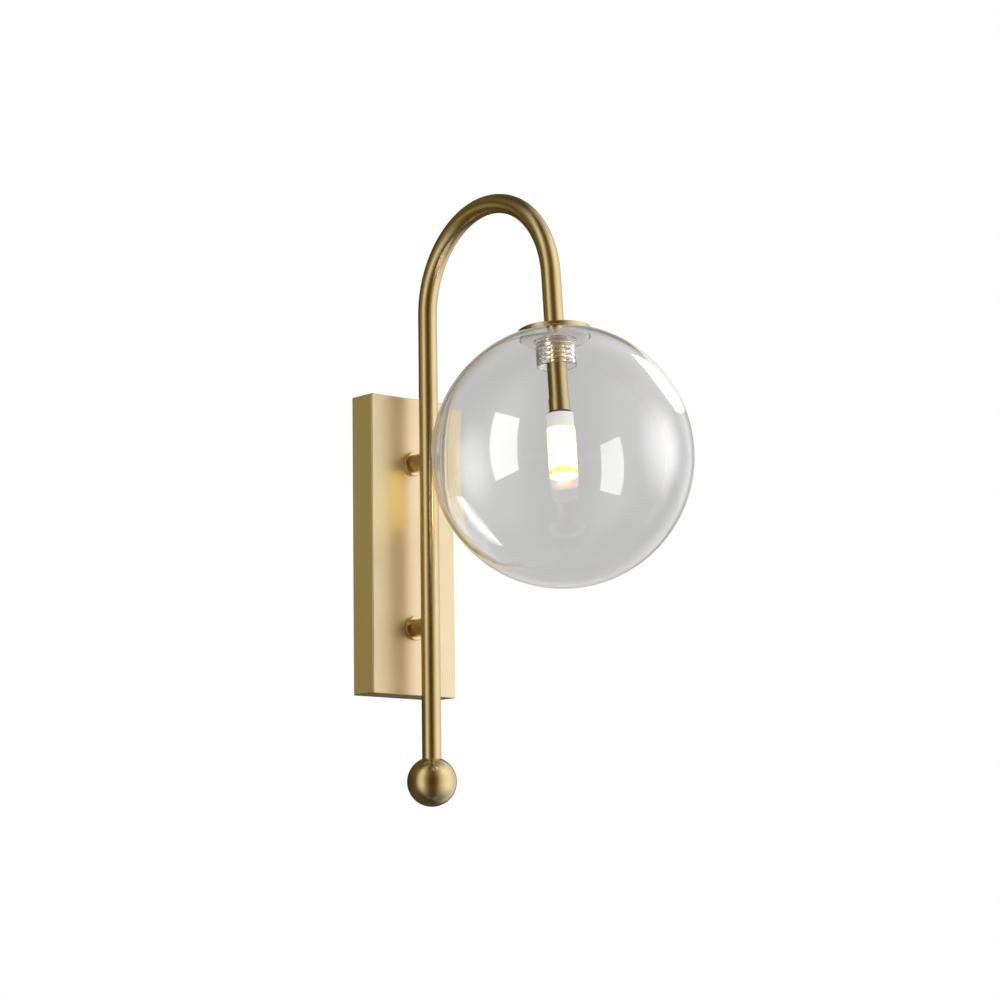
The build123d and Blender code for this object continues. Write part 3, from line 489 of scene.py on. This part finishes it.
# ---------------------------------------------------------------- hidden parts
def moulded(name, first, second, roughness, grain=700.0, sheen=0.0):
    """Moulded plastic, rubber or ceramic: two close tones and a fine skin."""
    material, tree = bare_material(name)
    skin = speckle(tree, place_on_piece(tree), grain)
    clouds = speckle(tree, place_on_piece(tree), 60.0)
    surface(tree, {
        "Base Color": blend_tones(tree, spread(tree, clouds, 0.0, 1.0), first, second),
        "Roughness": spread(tree, skin, roughness - 0.06, roughness + 0.06),
        "Normal": raised(tree, skin, 0.00002, 0.35),
        "Sheen Weight": sheen,
    })
    return material


def circuit_green():
    """Green circuit board with tracks under the lacquer."""
    material, tree = bare_material("circuit_green")
    tracks = put(
        tree,
        "ShaderNodeTexBrick",
        {
            "Vector": place_on_piece(tree),
            "Scale": 260.0,
            "Color1": (0.012, 0.10, 0.035, 1.0),
            "Color2": (0.016, 0.13, 0.045, 1.0),
            "Mortar": (0.03, 0.19, 0.07, 1.0),
        },
    )
    surface(tree, {
        "Base Color": tracks.outputs["Color"],
        "Roughness": 0.35,
        "Normal": raised(tree, tracks.outputs["Fac"], 0.00003, 0.5),
    })
    return material


# ---------------------------------------------------------------- giving finishes to nodes
def dress(material, *nodes):
    """Gives a finish to CAD nodes by their objects' own material slots."""
    for name in nodes:
        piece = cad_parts[name]
        if not piece.material_slots:
            piece.data.materials.append(None)
        for place in piece.material_slots:
            place.link = "OBJECT"
            place.material = material


class SCONCE_OT_backplate(bpy.types.Operator):
    """Brushes the backplate cover up and down and finishes its two screws"""

    bl_idname = "sconce.backplate"
    bl_label = "Backplate cover"

    def execute(self, context):
        look = context.scene.sconce_brass
        tones = (look.plate_light, look.plate_deep)
        plate = satin_brass("brass_plate", look.plate_roughness, (1.0, 1.0, 0.02), tones)
        dress(plate, "backplate_cover")
        dress(satin_brass("brass_screws", look.tube_roughness, (1.0, 1.0, 1.0)), "cover_screws")
        return {"FINISHED"}


class SCONCE_OT_arm(bpy.types.Operator):
    """Satin finish of the bent arm tube"""

    bl_idname = "sconce.arm"
    bl_label = "Arm tube"

    def execute(self, context):
        look = context.scene.sconce_brass
        dress(satin_brass("brass_tube", look.tube_roughness, (1.0, 0.15, 0.15)), "arm_tube")
        return {"FINISHED"}


class SCONCE_OT_ball(bpy.types.Operator):
    """Turned satin finish of the ball finial"""

    bl_idname = "sconce.ball"
    bl_label = "Ball finial"

    def execute(self, context):
        look = context.scene.sconce_brass
        dress(satin_brass("brass_ball", look.ball_roughness, (0.1, 0.1, 1.0)), "ball_finial")
        return {"FINISHED"}


class SCONCE_OT_standoffs(bpy.types.Operator):
    """Finish of the two standoffs, their rings and the wire bushing inside the cover"""

    bl_idname = "sconce.standoffs"
    bl_label = "Standoffs"

    def execute(self, context):
        look = context.scene.sconce_brass
        turned = satin_brass("brass_standoffs", look.tube_roughness, (1.0, 0.1, 1.0))
        dress(turned, "upper_standoff_flange", "lower_standoff_flange")
        dress(turned, "upper_standoff_post", "lower_standoff_post")
        dress(moulded("black_nylon", (0.012, 0.012, 0.014), (0.02, 0.02, 0.022), 0.5), "wire_bushing")
        return {"FINISHED"}


class SCONCE_OT_lamp_metal(bpy.types.Operator):
    """Brass of the cap disc, the threaded boss, the socket tube and its ferrule"""

    bl_idname = "sconce.lamp_metal"
    bl_label = "Lamp metalwork"

    def execute(self, context):
        look = context.scene.sconce_brass
        dress(satin_brass("brass_disc", look.tube_roughness, (0.3, 0.3, 1.0)), "cap_disc")
        drawn = satin_brass("brass_socket", look.tube_roughness, (1.0, 1.0, 0.1))
        dress(drawn, "socket_tube", "socket_ferrule")
        dress(turned_brass(), "threaded_boss", "lampholder_contacts")
        return {"FINISHED"}


def arc(centre, radius, first, last, steps):
    """Places on an arc, angles in degrees from the outward direction."""
    turns = [radians(first + (last - first) * step / steps) for step in range(steps + 1)]
    return [(centre[0] + radius * cos(turn), centre[1] + radius * sin(turn)) for turn in turns]


def globe_section(look):
    """The glass in half section, as a closed run of (radius, height over the globe's centre).

    It starts at the outer pole, goes up to the ground top, down the bore and back inside.
    """
    flat_ring, chamfer, foot_chamfer, inset = 0.35, 0.0008, 0.0003, 0.0001
    crown = look.radius + look.stretch
    top = sqrt(crown**2 - (look.land + look.stretch) ** 2)
    seat = top - look.land_edge
    across = sqrt((crown - look.land_edge) ** 2 - seat**2) - look.stretch
    lean = degrees(atan2(seat, across + look.stretch))
    outside = arc((0.0, 0.0), look.radius, -90.0, 0.0, POLE_STEPS)
    outside += arc((-look.stretch, 0.0), crown, 0.0, lean, CROWN_STEPS)[1:]
    outside += arc((across, seat), look.land_edge, lean, 90.0, 6)[1:]
    outside += [(look.land - flat_ring * (look.land - look.bore), top), (look.bore + chamfer, top)]
    foot = top - look.neck_length
    bore = [
        (look.bore, top - inset - (look.neck_length - 2 * inset) * row / BORE_STEPS)
        for row in range(BORE_STEPS + 1)
    ]
    under = [(look.bore + foot_chamfer, foot), (look.neck - look.rim - 2 * inset, foot)]
    rim = arc((look.neck - look.rim, foot + look.rim), look.rim, -90.0, 0.0, 5)
    shelf = top - look.collar_depth
    root = arc((look.neck + look.root, shelf - look.root), look.root, 180.0, 90.0, 8)
    lip = arc((look.collar - look.root, shelf + look.root), look.root, -90.0, 0.0, 8)
    hollow = crown - look.wall
    start = degrees(acos((look.collar + look.stretch) / hollow))
    inside = [(look.collar, (shelf + look.root + hollow * sin(radians(start))) / 2)]
    inside += arc((-look.stretch, 0.0), hollow, start, 0.0, CROWN_STEPS)
    inside += arc((0.0, 0.0), look.radius - look.wall, 0.0, -90.0, POLE_STEPS)[1:]
    return outside, bore, under + rim + root + lip + inside


def thread_at(look, angle, below_end):
    """How far the neck's thread stands into the bore, at an angle and a depth under the arm's end.

    It runs out over a sixth of a turn at both ends.
    """
    part_turn = angle / (2 * pi)
    turns = (look.thread_start - below_end) / look.pitch - (part_turn - 0.25)
    nearest = round(turns)
    along = nearest + part_turn - 0.25
    if not 0.0 <= along <= look.thread_turns:
        return 0.0
    away = abs(turns - nearest) * look.pitch
    slope = (look.thread_root - look.thread_crest) / 2
    full = min(1.0, max(0.0, (look.thread_root / 2 - away) / slope))
    return look.thread_height * full * min(1.0, 6 * along, 6 * (look.thread_turns - along))


def globe_mesh(look):
    """The globe turned from its half section, with the thread cut into the bore."""
    up = -LAMP_DOWN
    right = Vector((1.0, 0.0, 0.0))
    across = up.cross(right)
    outside, bore, inside = globe_section(look)
    level = (ARM_END - GLOBE_CENTRE).dot(up)
    rings = [(place, False) for place in outside[1:]]
    rings += [(place, True) for place in bore]
    rings += [(place, False) for place in inside[:-1]]
    sides = look.around
    points = []
    for (radius, height), threaded in rings:
        for side in range(sides):
            angle = 2 * pi * side / sides
            here = radius - thread_at(look, angle, level - height) if threaded else radius
            points.append(GLOBE_CENTRE + up * height + (right * cos(angle) + across * sin(angle)) * here)
    faces = []
    for ring in range(len(rings) - 1):
        low, high = ring * sides, (ring + 1) * sides
        for side in range(sides):
            after = (side + 1) % sides
            faces.append((low + side, low + after, high + after, high + side))
    outer_pole, inner_pole = len(points), len(points) + 1
    points.append(GLOBE_CENTRE - up * look.radius)
    points.append(GLOBE_CENTRE - up * (look.radius - look.wall))
    last = (len(rings) - 1) * sides
    for side in range(sides):
        after = (side + 1) % sides
        faces.append((outer_pole, after, side))
        faces.append((inner_pole, last + side, last + after))
    mesh = bpy.data.meshes.new("blown_globe")
    mesh.from_pydata([tuple(point) for point in points], [], faces)
    mesh.shade_smooth()
    mesh.set_sharp_from_angle(angle=radians(50.0))
    return mesh


class SCONCE_OT_globe(bpy.types.Operator):
    """The screw-on globe in clear glass, turned finely enough to mirror the lamps cleanly"""

    bl_idname = "sconce.globe"
    bl_label = "Glass globe"

    def execute(self, context):
        glass = globe_glass()
        dress(glass, "glass_globe")
        globe = bpy.data.objects.new("blown_globe", globe_mesh(context.scene.sconce_glass))
        context.scene.collection.objects.link(globe)
        globe.data.materials.append(glass)
        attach(globe, "globe")
        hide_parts("glass_globe")
        return {"FINISHED"}


class SCONCE_OT_seal(bpy.types.Operator):
    """Silicone ring between the globe and the cap disc"""

    bl_idname = "sconce.seal"
    bl_label = "Globe seal"

    def execute(self, context):
        dress(clear_silicone(), "globe_seal")
        return {"FINISHED"}


class SCONCE_OT_lampholder(bpy.types.Operator):
    """Ceramic of the lampholder in the end of the socket tube"""

    bl_idname = "sconce.lampholder"
    bl_label = "Lampholder"

    def execute(self, context):
        dress(moulded("steatite", (0.84, 0.81, 0.74), (0.78, 0.75, 0.68), 0.55), "lampholder")
        return {"FINISHED"}


class SCONCE_OT_bulb(bpy.types.Operator):
    """The lit plug-in bulb: base, hot post and glowing cover"""

    bl_idname = "sconce.bulb"
    bl_label = "Plug-in bulb"

    def execute(self, context):
        dress(bulb_white(), "bulb_base")
        dress(bulb_post(), "bulb_core")
        dress(bulb_glow(), "bulb_cover")
        return {"FINISHED"}


class SCONCE_OT_fastenings(bpy.types.Operator):
    """Zinc plate of the bracket, nuts, washers, nipples, screws and pins"""

    bl_idname = "sconce.fastenings"
    bl_label = "Bracket and fastenings"

    def execute(self, context):
        steel = zinc_plate()
        dress(steel, "wall_bracket", "standoff_nipples", "standoff_washers", "standoff_nuts")
        dress(steel, "finial_stud", "lamp_nipple", "bulb_pins", "driver_screws")
        dress(steel, "terminal_clamp_screws", "terminal_fixing_screws")
        dress(steel, "earth_screw", "earth_ring_terminal")
        return {"FINISHED"}


class SCONCE_OT_driver(bpy.types.Operator):
    """White case and green board of the driver"""

    bl_idname = "sconce.driver"
    bl_label = "Driver"

    def execute(self, context):
        white = moulded("white_case", (0.76, 0.76, 0.73), (0.70, 0.70, 0.67), 0.4)
        dress(white, "driver_base", "driver_case")
        dress(circuit_green(), "driver_board")
        return {"FINISHED"}


class SCONCE_OT_terminals(bpy.types.Operator):
    """White terminal block and the rubber grommet of the cable hole"""

    bl_idname = "sconce.terminals"
    bl_label = "Terminal block and grommet"

    def execute(self, context):
        dress(moulded("white_block", (0.78, 0.78, 0.75), (0.73, 0.73, 0.70), 0.35), "terminal_block")
        rubber = moulded("grommet_rubber", (0.012, 0.012, 0.012), (0.02, 0.02, 0.02), 0.7, 500.0, 0.1)
        dress(rubber, "cable_grommet")
        return {"FINISHED"}


class SCONCE_OT_wires(bpy.types.Operator):
    """Coloured insulation of the leads and the two lamp wires"""

    bl_idname = "sconce.wires"
    bl_label = "Wires"

    def execute(self, context):
        for node, first, second in (
            ("earth_lead", (0.07, 0.26, 0.02), (0.09, 0.30, 0.02)),
            ("driver_lead_live", (0.085, 0.022, 0.008), (0.1, 0.028, 0.01)),
            ("driver_lead_neutral", (0.01, 0.05, 0.34), (0.012, 0.06, 0.38)),
            ("lamp_wire_positive", (0.45, 0.008, 0.006), (0.5, 0.012, 0.008)),
            ("lamp_wire_negative", (0.006, 0.006, 0.006), (0.012, 0.012, 0.012)),
        ):
            dress(moulded(node + "_skin", first, second, 0.45, 1400.0), node)
        return {"FINISHED"}


# ---------------------------------------------------------------- stage
def stage_floor(look):
    """A wide pale floor. It shows from above only, and half of what the camera sees of it is white
    light, so the sconce's shadow on it stays soft."""
    reach = 6.0
    mesh = bpy.data.meshes.new("studio_floor")
    corners = [(x * reach, y * reach, look.floor_height) for x, y in ((-1, -1), (1, -1), (1, 1), (-1, 1))]
    mesh.from_pydata(corners, [], [(0, 1, 2, 3)])
    floor = bpy.data.objects.new("studio_floor", mesh)
    bpy.context.scene.collection.objects.link(floor)
    floor.visible_glossy = False
    material, tree = bare_material("floor_paint")
    grain = speckle(tree, place_on_piece(tree), 40.0)
    duller = tuple(0.97 * part for part in look.floor_tone)
    tones = blend_tones(tree, grain, look.floor_tone, duller)
    paint = put(tree, "ShaderNodeBsdfDiffuse", {"Color": tones}).outputs["BSDF"]
    white = put(tree, "ShaderNodeEmission", {"Color": WHITE, "Strength": 1.0}).outputs["Emission"]
    nothing = put(tree, "ShaderNodeBsdfTransparent").outputs["BSDF"]
    camera_ray = put(tree, "ShaderNodeLightPath").outputs["Is Camera Ray"]
    from_above = either(tree, calculated(tree, "MULTIPLY", camera_ray, 0.5), paint, white)
    from_below = put(tree, "ShaderNodeNewGeometry").outputs["Backfacing"]
    finish_with(tree, either(tree, from_below, from_above, nothing))
    mesh.materials.append(material)


# The studio's sides: an angle from straight out of the wall towards +X in degrees, and the light there.
DARK_SIDE = (0.055, 0.036, 0.006)
STUDIO_SIDES = (
    (-180, DARK_SIDE),
    (-158, (0.08, 0.07, 0.025)),
    (-140, (0.08, 0.07, 0.018)),
    (-120, (0.16, 0.13, 0.05)),
    (-107, (0.55, 0.55, 0.42)),
    (-98, (0.90, 0.90, 0.82)),
    (-83, (0.84, 0.84, 0.76)),
    (-73, (0.46, 0.46, 0.36)),
    (-61, (0.22, 0.17, 0.08)),
    (-50, (0.10, 0.065, 0.014)),
    (-38, (0.075, 0.042, 0.004)),
    (-26, (0.09, 0.06, 0.010)),
    (-15, (0.18, 0.14, 0.045)),
    (-5, (0.42, 0.39, 0.24)),
    (9, (0.78, 0.76, 0.64)),
    (23, (1.02, 1.02, 0.97)),
    (40, (1.16, 1.18, 1.20)),
    (62, (1.10, 1.12, 1.16)),
    (84, (0.86, 0.88, 0.90)),
    (106, (0.80, 0.82, 0.85)),
    (116, (0.45, 0.42, 0.36)),
    (127, (0.06, 0.05, 0.03)),
    (150, (0.07, 0.055, 0.03)),
    (180, DARK_SIDE),
)


def studio_gloss(tree, way, look):
    """Lit and dark sides for the gloss, dimmer high up and low down, with a dim fill there."""
    parts = put(tree, "ShaderNodeSeparateXYZ", {"Vector": way}).outputs
    turn = calculated(tree, "ARCTAN2", parts["X"], calculated(tree, "MULTIPLY", parts["Y"], -1.0))
    round_trip = spread(tree, turn, 0.0, 1.0, -pi, pi)
    sides = ramp_of(tree, round_trip, [((angle + 180) / 360, colour) for angle, colour in STUDIO_SIDES])
    height = spread(tree, parts["Z"], 0.0, 1.0, -0.9, -0.3)
    low_part = calculated(tree, "MULTIPLY_ADD", height, 0.88, 0.12)
    top_part = spread(tree, parts["Z"], 1.0, 0.25, 0.66, 0.96)
    level = calculated(tree, "MULTIPLY", low_part, top_part)
    lit_sides = put(tree, "ShaderNodeBackground", {"Color": sides, "Strength": level})
    steep = calculated(tree, "ABSOLUTE", parts["Z"])
    fill_level = spread(tree, steep, 0.0, look.fill_level, 0.18, 0.55)
    fill = put(tree, "ShaderNodeBackground", {"Color": (1.0, 0.92, 0.70, 1.0), "Strength": fill_level})
    return both(tree, lit_sides.outputs["Background"], fill.outputs["Background"])


def paper_level(tree, way, seen_through_glass, look):
    """Level of the white paper, which is a greyer card behind the globe for what is seen through it."""
    sockets = {0: way, 1: PHOTO_WAY}
    ahead = put(tree, "ShaderNodeVectorMath", sockets, operation="DOT_PRODUCT").outputs["Value"]
    card = spread(tree, ahead, 1.0, look.behind_glass, 0.72, 0.96)
    seen_directly = spread(tree, seen_through_glass, 1.0, 0.0, 0.0, 1.0)
    return calculated(tree, "MAXIMUM", card, seen_directly)


def surroundings(look):
    """White behind the sconce, a studio with lit and dark sides for the gloss, even light for the rest."""
    world = bpy.data.worlds.new("photo_studio")
    bpy.context.scene.world = world
    world.use_nodes = True
    world.cycles.sampling_method = "NONE"
    tree = world.node_tree
    tree.nodes.clear()
    way = put(tree, "ShaderNodeTexCoord").outputs["Generated"]
    gloss = studio_gloss(tree, way, look)
    even = put(tree, "ShaderNodeBackground", {"Color": WHITE, "Strength": look.soft_level})
    path = put(tree, "ShaderNodeLightPath").outputs
    paper = paper_level(tree, way, path["Is Transmission Ray"], look)
    white = put(tree, "ShaderNodeBackground", {"Color": WHITE, "Strength": paper}).outputs["Background"]
    no_gloss = calculated(tree, "LESS_THAN", path["Glossy Depth"], 0.5)
    no_paint = calculated(tree, "LESS_THAN", path["Diffuse Depth"], 0.5)
    untouched = calculated(tree, "MULTIPLY", no_gloss, no_paint)
    painted = calculated(tree, "GREATER_THAN", path["Diffuse Depth"], 0.5)
    turned_light = either(tree, painted, gloss, even.outputs["Background"])
    put(tree, "ShaderNodeOutputWorld", {"Surface": either(tree, untouched, turned_light, white)})


def shine_only_on(lamp, piece):
    """Lets a lamp or a sheet shine on one piece alone."""
    name = "lit_" + piece
    group = bpy.data.collections.get(name)
    if group is None:
        group = bpy.data.collections.new(name)
        group.objects.link(bpy.data.objects[piece])
    lamp.light_linking.receiver_collection = group


def where_mirrored(tree):
    """1 for light that a piece mirrors, 0 for light seen directly or straight through the glass.

    Light that has crossed four faces of glass has come through the whole globe.
    """
    path = put(tree, "ShaderNodeLightPath").outputs
    mirrored = calculated(tree, "GREATER_THAN", path["Glossy Depth"], 0.5)
    through_globe = calculated(tree, "COMPARE", path["Transmission Depth"], 4.0, 0.5)
    return calculated(tree, "SUBTRACT", mirrored, through_globe, use_clamp=True)


def shine_through(tree, colour, level):
    """Light from a sheet that is otherwise open, so that pieces it isn't meant for don't see it."""
    strength = calculated(tree, "MULTIPLY", level, where_mirrored(tree))
    light = put(tree, "ShaderNodeEmission", {"Color": solid(colour), "Strength": strength})
    nothing = put(tree, "ShaderNodeBsdfTransparent")
    finish_with(tree, both(tree, light.outputs["Emission"], nothing.outputs["BSDF"]))


def faded(tree, level, reach):
    """A level that falls softly to nothing at a distance from the sheet's middle."""
    here = put(tree, "ShaderNodeTexCoord").outputs["Object"]
    away = put(tree, "ShaderNodeVectorMath", {0: here}, operation="LENGTH").outputs["Value"]
    return put(
        tree,
        "ShaderNodeMapRange",
        {"Value": away, "From Min": reach, "From Max": 0.0, "To Min": 0.0, "To Max": level},
        interpolation_type="SMOOTHERSTEP",
    ).outputs["Result"]


def facing(where, towards, across):
    """A lamp's matrix: it shines along towards, and its width runs along across."""
    back = -Vector(towards).normalized()
    side = Vector(across)
    side = (side - back * side.dot(back)).normalized()
    top = back.cross(side)
    turn = Matrix((side, top, back)).transposed().to_4x4()
    return Matrix.Translation(where) @ turn


# Power that makes one square metre of lamp as bright as the white paper.
LAMP_POWER = 4.0


def panel_lamp(name, level, width, height, matrix):
    """A flat rectangular lamp of a set brightness that the camera doesn't see."""
    data = bpy.data.lights.new(name, "AREA")
    data.shape = "RECTANGLE"
    data.size = width
    data.size_y = height
    data.energy = LAMP_POWER * width * height * level
    lamp = bpy.data.objects.new(name, data)
    bpy.context.scene.collection.objects.link(lamp)
    lamp.matrix_world = matrix
    lamp.visible_camera = False
    return lamp


def sheet(name, corners, matrix, piece):
    """A flat panel that only one piece mirrors."""
    mesh = bpy.data.meshes.new(name)
    mesh.from_pydata(corners, [], [tuple(range(len(corners)))])
    panel = bpy.data.objects.new(name, mesh)
    bpy.context.scene.collection.objects.link(panel)
    panel.matrix_world = matrix
    panel.visible_camera = False
    panel.visible_diffuse = False
    panel.visible_shadow = False
    shine_only_on(panel, piece)
    return panel


def round_sheet(name, radius, reach, matrix, colour, level, piece="blown_globe"):
    """A round panel whose light fades to nothing at its reach."""
    steps = [step * pi / 16 for step in range(32)]
    corners = [(radius * cos(step), radius * sin(step), 0.0) for step in steps]
    panel = sheet(name + "_panel", corners, matrix, piece)
    material, tree = bare_material(name + "_light")
    shine_through(tree, colour, faded(tree, level, reach))
    panel.data.materials.append(material)
    return panel


def window_panel(look):
    """Bright panel out on the left, which the globe mirrors twice, in its near and in its far wall."""
    turn, lift = radians(-28.5), radians(-3.8)
    towards = (cos(lift) * cos(turn), cos(lift) * sin(turn), sin(lift))
    matrix = facing(Vector((-0.623, -0.169, 0.070)), towards, (-sin(turn), cos(turn), 0.0))
    lamp = panel_lamp("window_panel", look.window_level, 0.30, 0.516, matrix)
    lamp.data.use_nodes = True
    tree = lamp.data.node_tree
    tree.links.new(where_mirrored(tree), tree.nodes["Emission"].inputs["Strength"])
    shine_only_on(lamp, "blown_globe")


def band_panel(look):
    """Cut panel up at the right, which the globe mirrors as its white band. It fades out at one side
    and is dimmer at the other."""
    outline = [(0.011, 0.026), (0.039, -0.021), (0.077, -0.069), (0.136, -0.085), (0.197, -0.033)]
    outline += [(0.216, 0.037), (0.232, 0.20), (0.20, 0.27), (0.11, 0.25), (0.085, 0.09)]
    matrix = facing(Vector((0.240, -0.183, 0.337)), (-0.707, 0.0, -0.707), (0.0, -1.0, 0.0))
    panel = sheet("band_panel", [(-y, x, 0.0) for x, y in outline], matrix, "blown_globe")
    material, tree = bare_material("band_light")
    here = put(tree, "ShaderNodeTexCoord").outputs["Object"]
    depth = put(tree, "ShaderNodeSeparateXYZ", {"Vector": here}).outputs["X"]
    level = spread(tree, depth, 0.1 * look.band_level, look.band_level, -0.075, 0.0)
    soft_side = spread(tree, depth, 1.0, 0.0, 0.01, 0.085)
    shine_through(tree, (1.0, 1.0, 0.98), calculated(tree, "MULTIPLY", level, soft_side))
    panel.data.materials.append(material)


def glow_panel(look):
    """Soft round panel on the right, which the globe mirrors as two glows."""
    way = Vector((0.785, -0.613, 0.087))
    matrix = facing(GLOBE_CENTRE + 0.8 * way, -way, (0.613, 0.785, 0.0))
    round_sheet("glow", 0.6, 0.55, matrix, (0.98, 0.98, 1.0), look.glow_level)


def paper_panels(look):
    """White paper behind and above the sconce, which the globe's rim and top mirror."""
    way, across = Vector((0.645, 0.764, 0.0)), (0.764, -0.645, 0.0)
    behind = facing(GLOBE_CENTRE + 0.9 * way, -way, across)
    round_sheet("rim", 1.6, 1.5, behind, WHITE, look.rim_level).visible_transmission = False
    above = facing(GLOBE_CENTRE + 0.5 * way + Vector((0.0, 0.0, 0.9)), (0.0, 0.0, -1.0), across)
    round_sheet("top", 1.1, 1.0, above, WHITE, look.top_level).visible_transmission = False


def arch_panel(look):
    """Round panel behind on the left, which the top of the arch mirrors as its fine light line."""
    way = Vector((-0.637, 0.754, -0.159))
    matrix = facing(ARCH_TOP + 0.35 * way, -way, (0.754, 0.637, 0.0))
    round_sheet("arch", 0.17, 0.16, matrix, (1.0, 0.88, 0.45), look.arch_level, "arm_tube")


def side_panel(look):
    """Dim warm panel behind on the left, which the backplate's side mirrors."""
    matrix = facing(Vector((-0.40, 0.42, 0.06)), (0.6377, -0.7537, -0.12), (0.7537, 0.6377, 0.0))
    lamp = panel_lamp("side_panel", look.side_level, 0.5, 0.6, matrix)
    lamp.data.color = (1.0, 0.86, 0.22)
    shine_only_on(lamp, "backplate_cover")


def bulb_light(look):
    """Warm patch that the lit bulb leaves on the backplate beside the arm."""
    way = Vector((0.611, -0.776, 0.158))
    matrix = facing(Vector((-0.0152, -0.020, 0.025)) + 0.014 * way, -way, (0.776, 0.611, 0.0))
    lamp = panel_lamp("bulb_light", look.bulb_level, 0.008, 0.042, matrix)
    lamp.data.color = (1.0, 0.82, 0.0)
    lamp.visible_transmission = False
    shine_only_on(lamp, "backplate_cover")


def key_panel(look):
    """Lamp high in front, which casts the sconce's soft shadow on the floor."""
    matrix = facing(Vector((0.35, -0.9, 1.3)), (-0.35, 0.8, -1.35), (1.0, 0.0, 0.0))
    lamp = panel_lamp("key_panel", 1.0, 0.7, 0.7, matrix)
    lamp.data.energy = look.key_power
    lamp.visible_glossy = False
    lamp.visible_transmission = False


def photo_camera(view):
    """Camera at the photograph's place."""
    data = bpy.data.cameras.new("photo_camera")
    data.lens = view.lens
    data.sensor_width = 36.0
    data.sensor_fit = "HORIZONTAL"
    data.clip_start = 0.05
    data.clip_end = 50.0
    camera = bpy.data.objects.new("photo_camera", data)
    bpy.context.scene.collection.objects.link(camera)
    flat = cos(view.elevation)
    back = Vector((sin(view.azimuth) * flat, -cos(view.azimuth) * flat, sin(view.elevation)))
    side = Vector((cos(view.azimuth), sin(view.azimuth), 0.0))
    top = back.cross(side)
    rolled_side = side * cos(view.roll) + top * sin(view.roll)
    rolled_top = top * cos(view.roll) - side * sin(view.roll)
    turn = Matrix((rolled_side, rolled_top, back)).transposed().to_4x4()
    camera.matrix_world = Matrix.Translation(Vector(view.aim) + back * view.distance) @ turn
    bpy.context.scene.camera = camera


class SCONCE_OT_stage(bpy.types.Operator):
    """Builds the floor, the surroundings, the lamps and the camera"""

    bl_idname = "sconce.stage"
    bl_label = "Stage and camera"

    def execute(self, context):
        look = context.scene.sconce_stage
        stage_floor(look)
        surroundings(look)
        window_panel(look)
        band_panel(look)
        glow_panel(look)
        paper_panels(look)
        arch_panel(look)
        side_panel(look)
        bulb_light(look)
        key_panel(look)
        photo_camera(context.scene.sconce_camera)
        context.scene.view_settings.view_transform = "Standard"
        return {"FINISHED"}


# ---------------------------------------------------------------- sidebar
STEPS = (
    "sconce.backplate",
    "sconce.arm",
    "sconce.ball",
    "sconce.standoffs",
    "sconce.lamp_metal",
    "sconce.globe",
    "sconce.seal",
    "sconce.lampholder",
    "sconce.bulb",
    "sconce.fastenings",
    "sconce.driver",
    "sconce.terminals",
    "sconce.wires",
    "sconce.stage",
)


class SCONCE_PT_sidebar(bpy.types.Panel):
    """Steps and settings of the sconce"""

    bl_idname = "SCONCE_PT_sidebar"
    bl_label = "Globe Wall Sconce"
    bl_space_type = "VIEW_3D"
    bl_region_type = "UI"
    bl_category = "Sconce"

    def draw(self, context):
        for step in STEPS:
            self.layout.operator(step)
        for name in GROUPS:
            box = self.layout.box()
            group = getattr(context.scene, name)
            for setting in group.__annotations__:
                box.prop(group, setting)


GROUPS = {
    "sconce_brass": SconceBrass,
    "sconce_glass": SconceGlass,
    "sconce_bulb": SconceBulb,
    "sconce_stage": SconceStage,
    "sconce_camera": SconceCamera,
}
CLASSES = (
    *GROUPS.values(),
    SCONCE_OT_backplate,
    SCONCE_OT_arm,
    SCONCE_OT_ball,
    SCONCE_OT_standoffs,
    SCONCE_OT_lamp_metal,
    SCONCE_OT_globe,
    SCONCE_OT_seal,
    SCONCE_OT_lampholder,
    SCONCE_OT_bulb,
    SCONCE_OT_fastenings,
    SCONCE_OT_driver,
    SCONCE_OT_terminals,
    SCONCE_OT_wires,
    SCONCE_OT_stage,
    SCONCE_PT_sidebar,
)


def register():
    """Adds the classes, and the settings to the scene."""
    for part in CLASSES:
        bpy.utils.register_class(part)
    for name, group in GROUPS.items():
        setattr(bpy.types.Scene, name, PointerProperty(type=group))


def unregister():
    """Takes the settings and the classes away again."""
    for name in GROUPS:
        delattr(bpy.types.Scene, name)
    for part in reversed(CLASSES):
        bpy.utils.unregister_class(part)


def main():
    """Dresses the sconce step by step."""
    register()
    for step in STEPS:
        group, action = step.split(".")
        getattr(getattr(bpy.ops, group), action)()


if __name__ == "__main__":
    main()
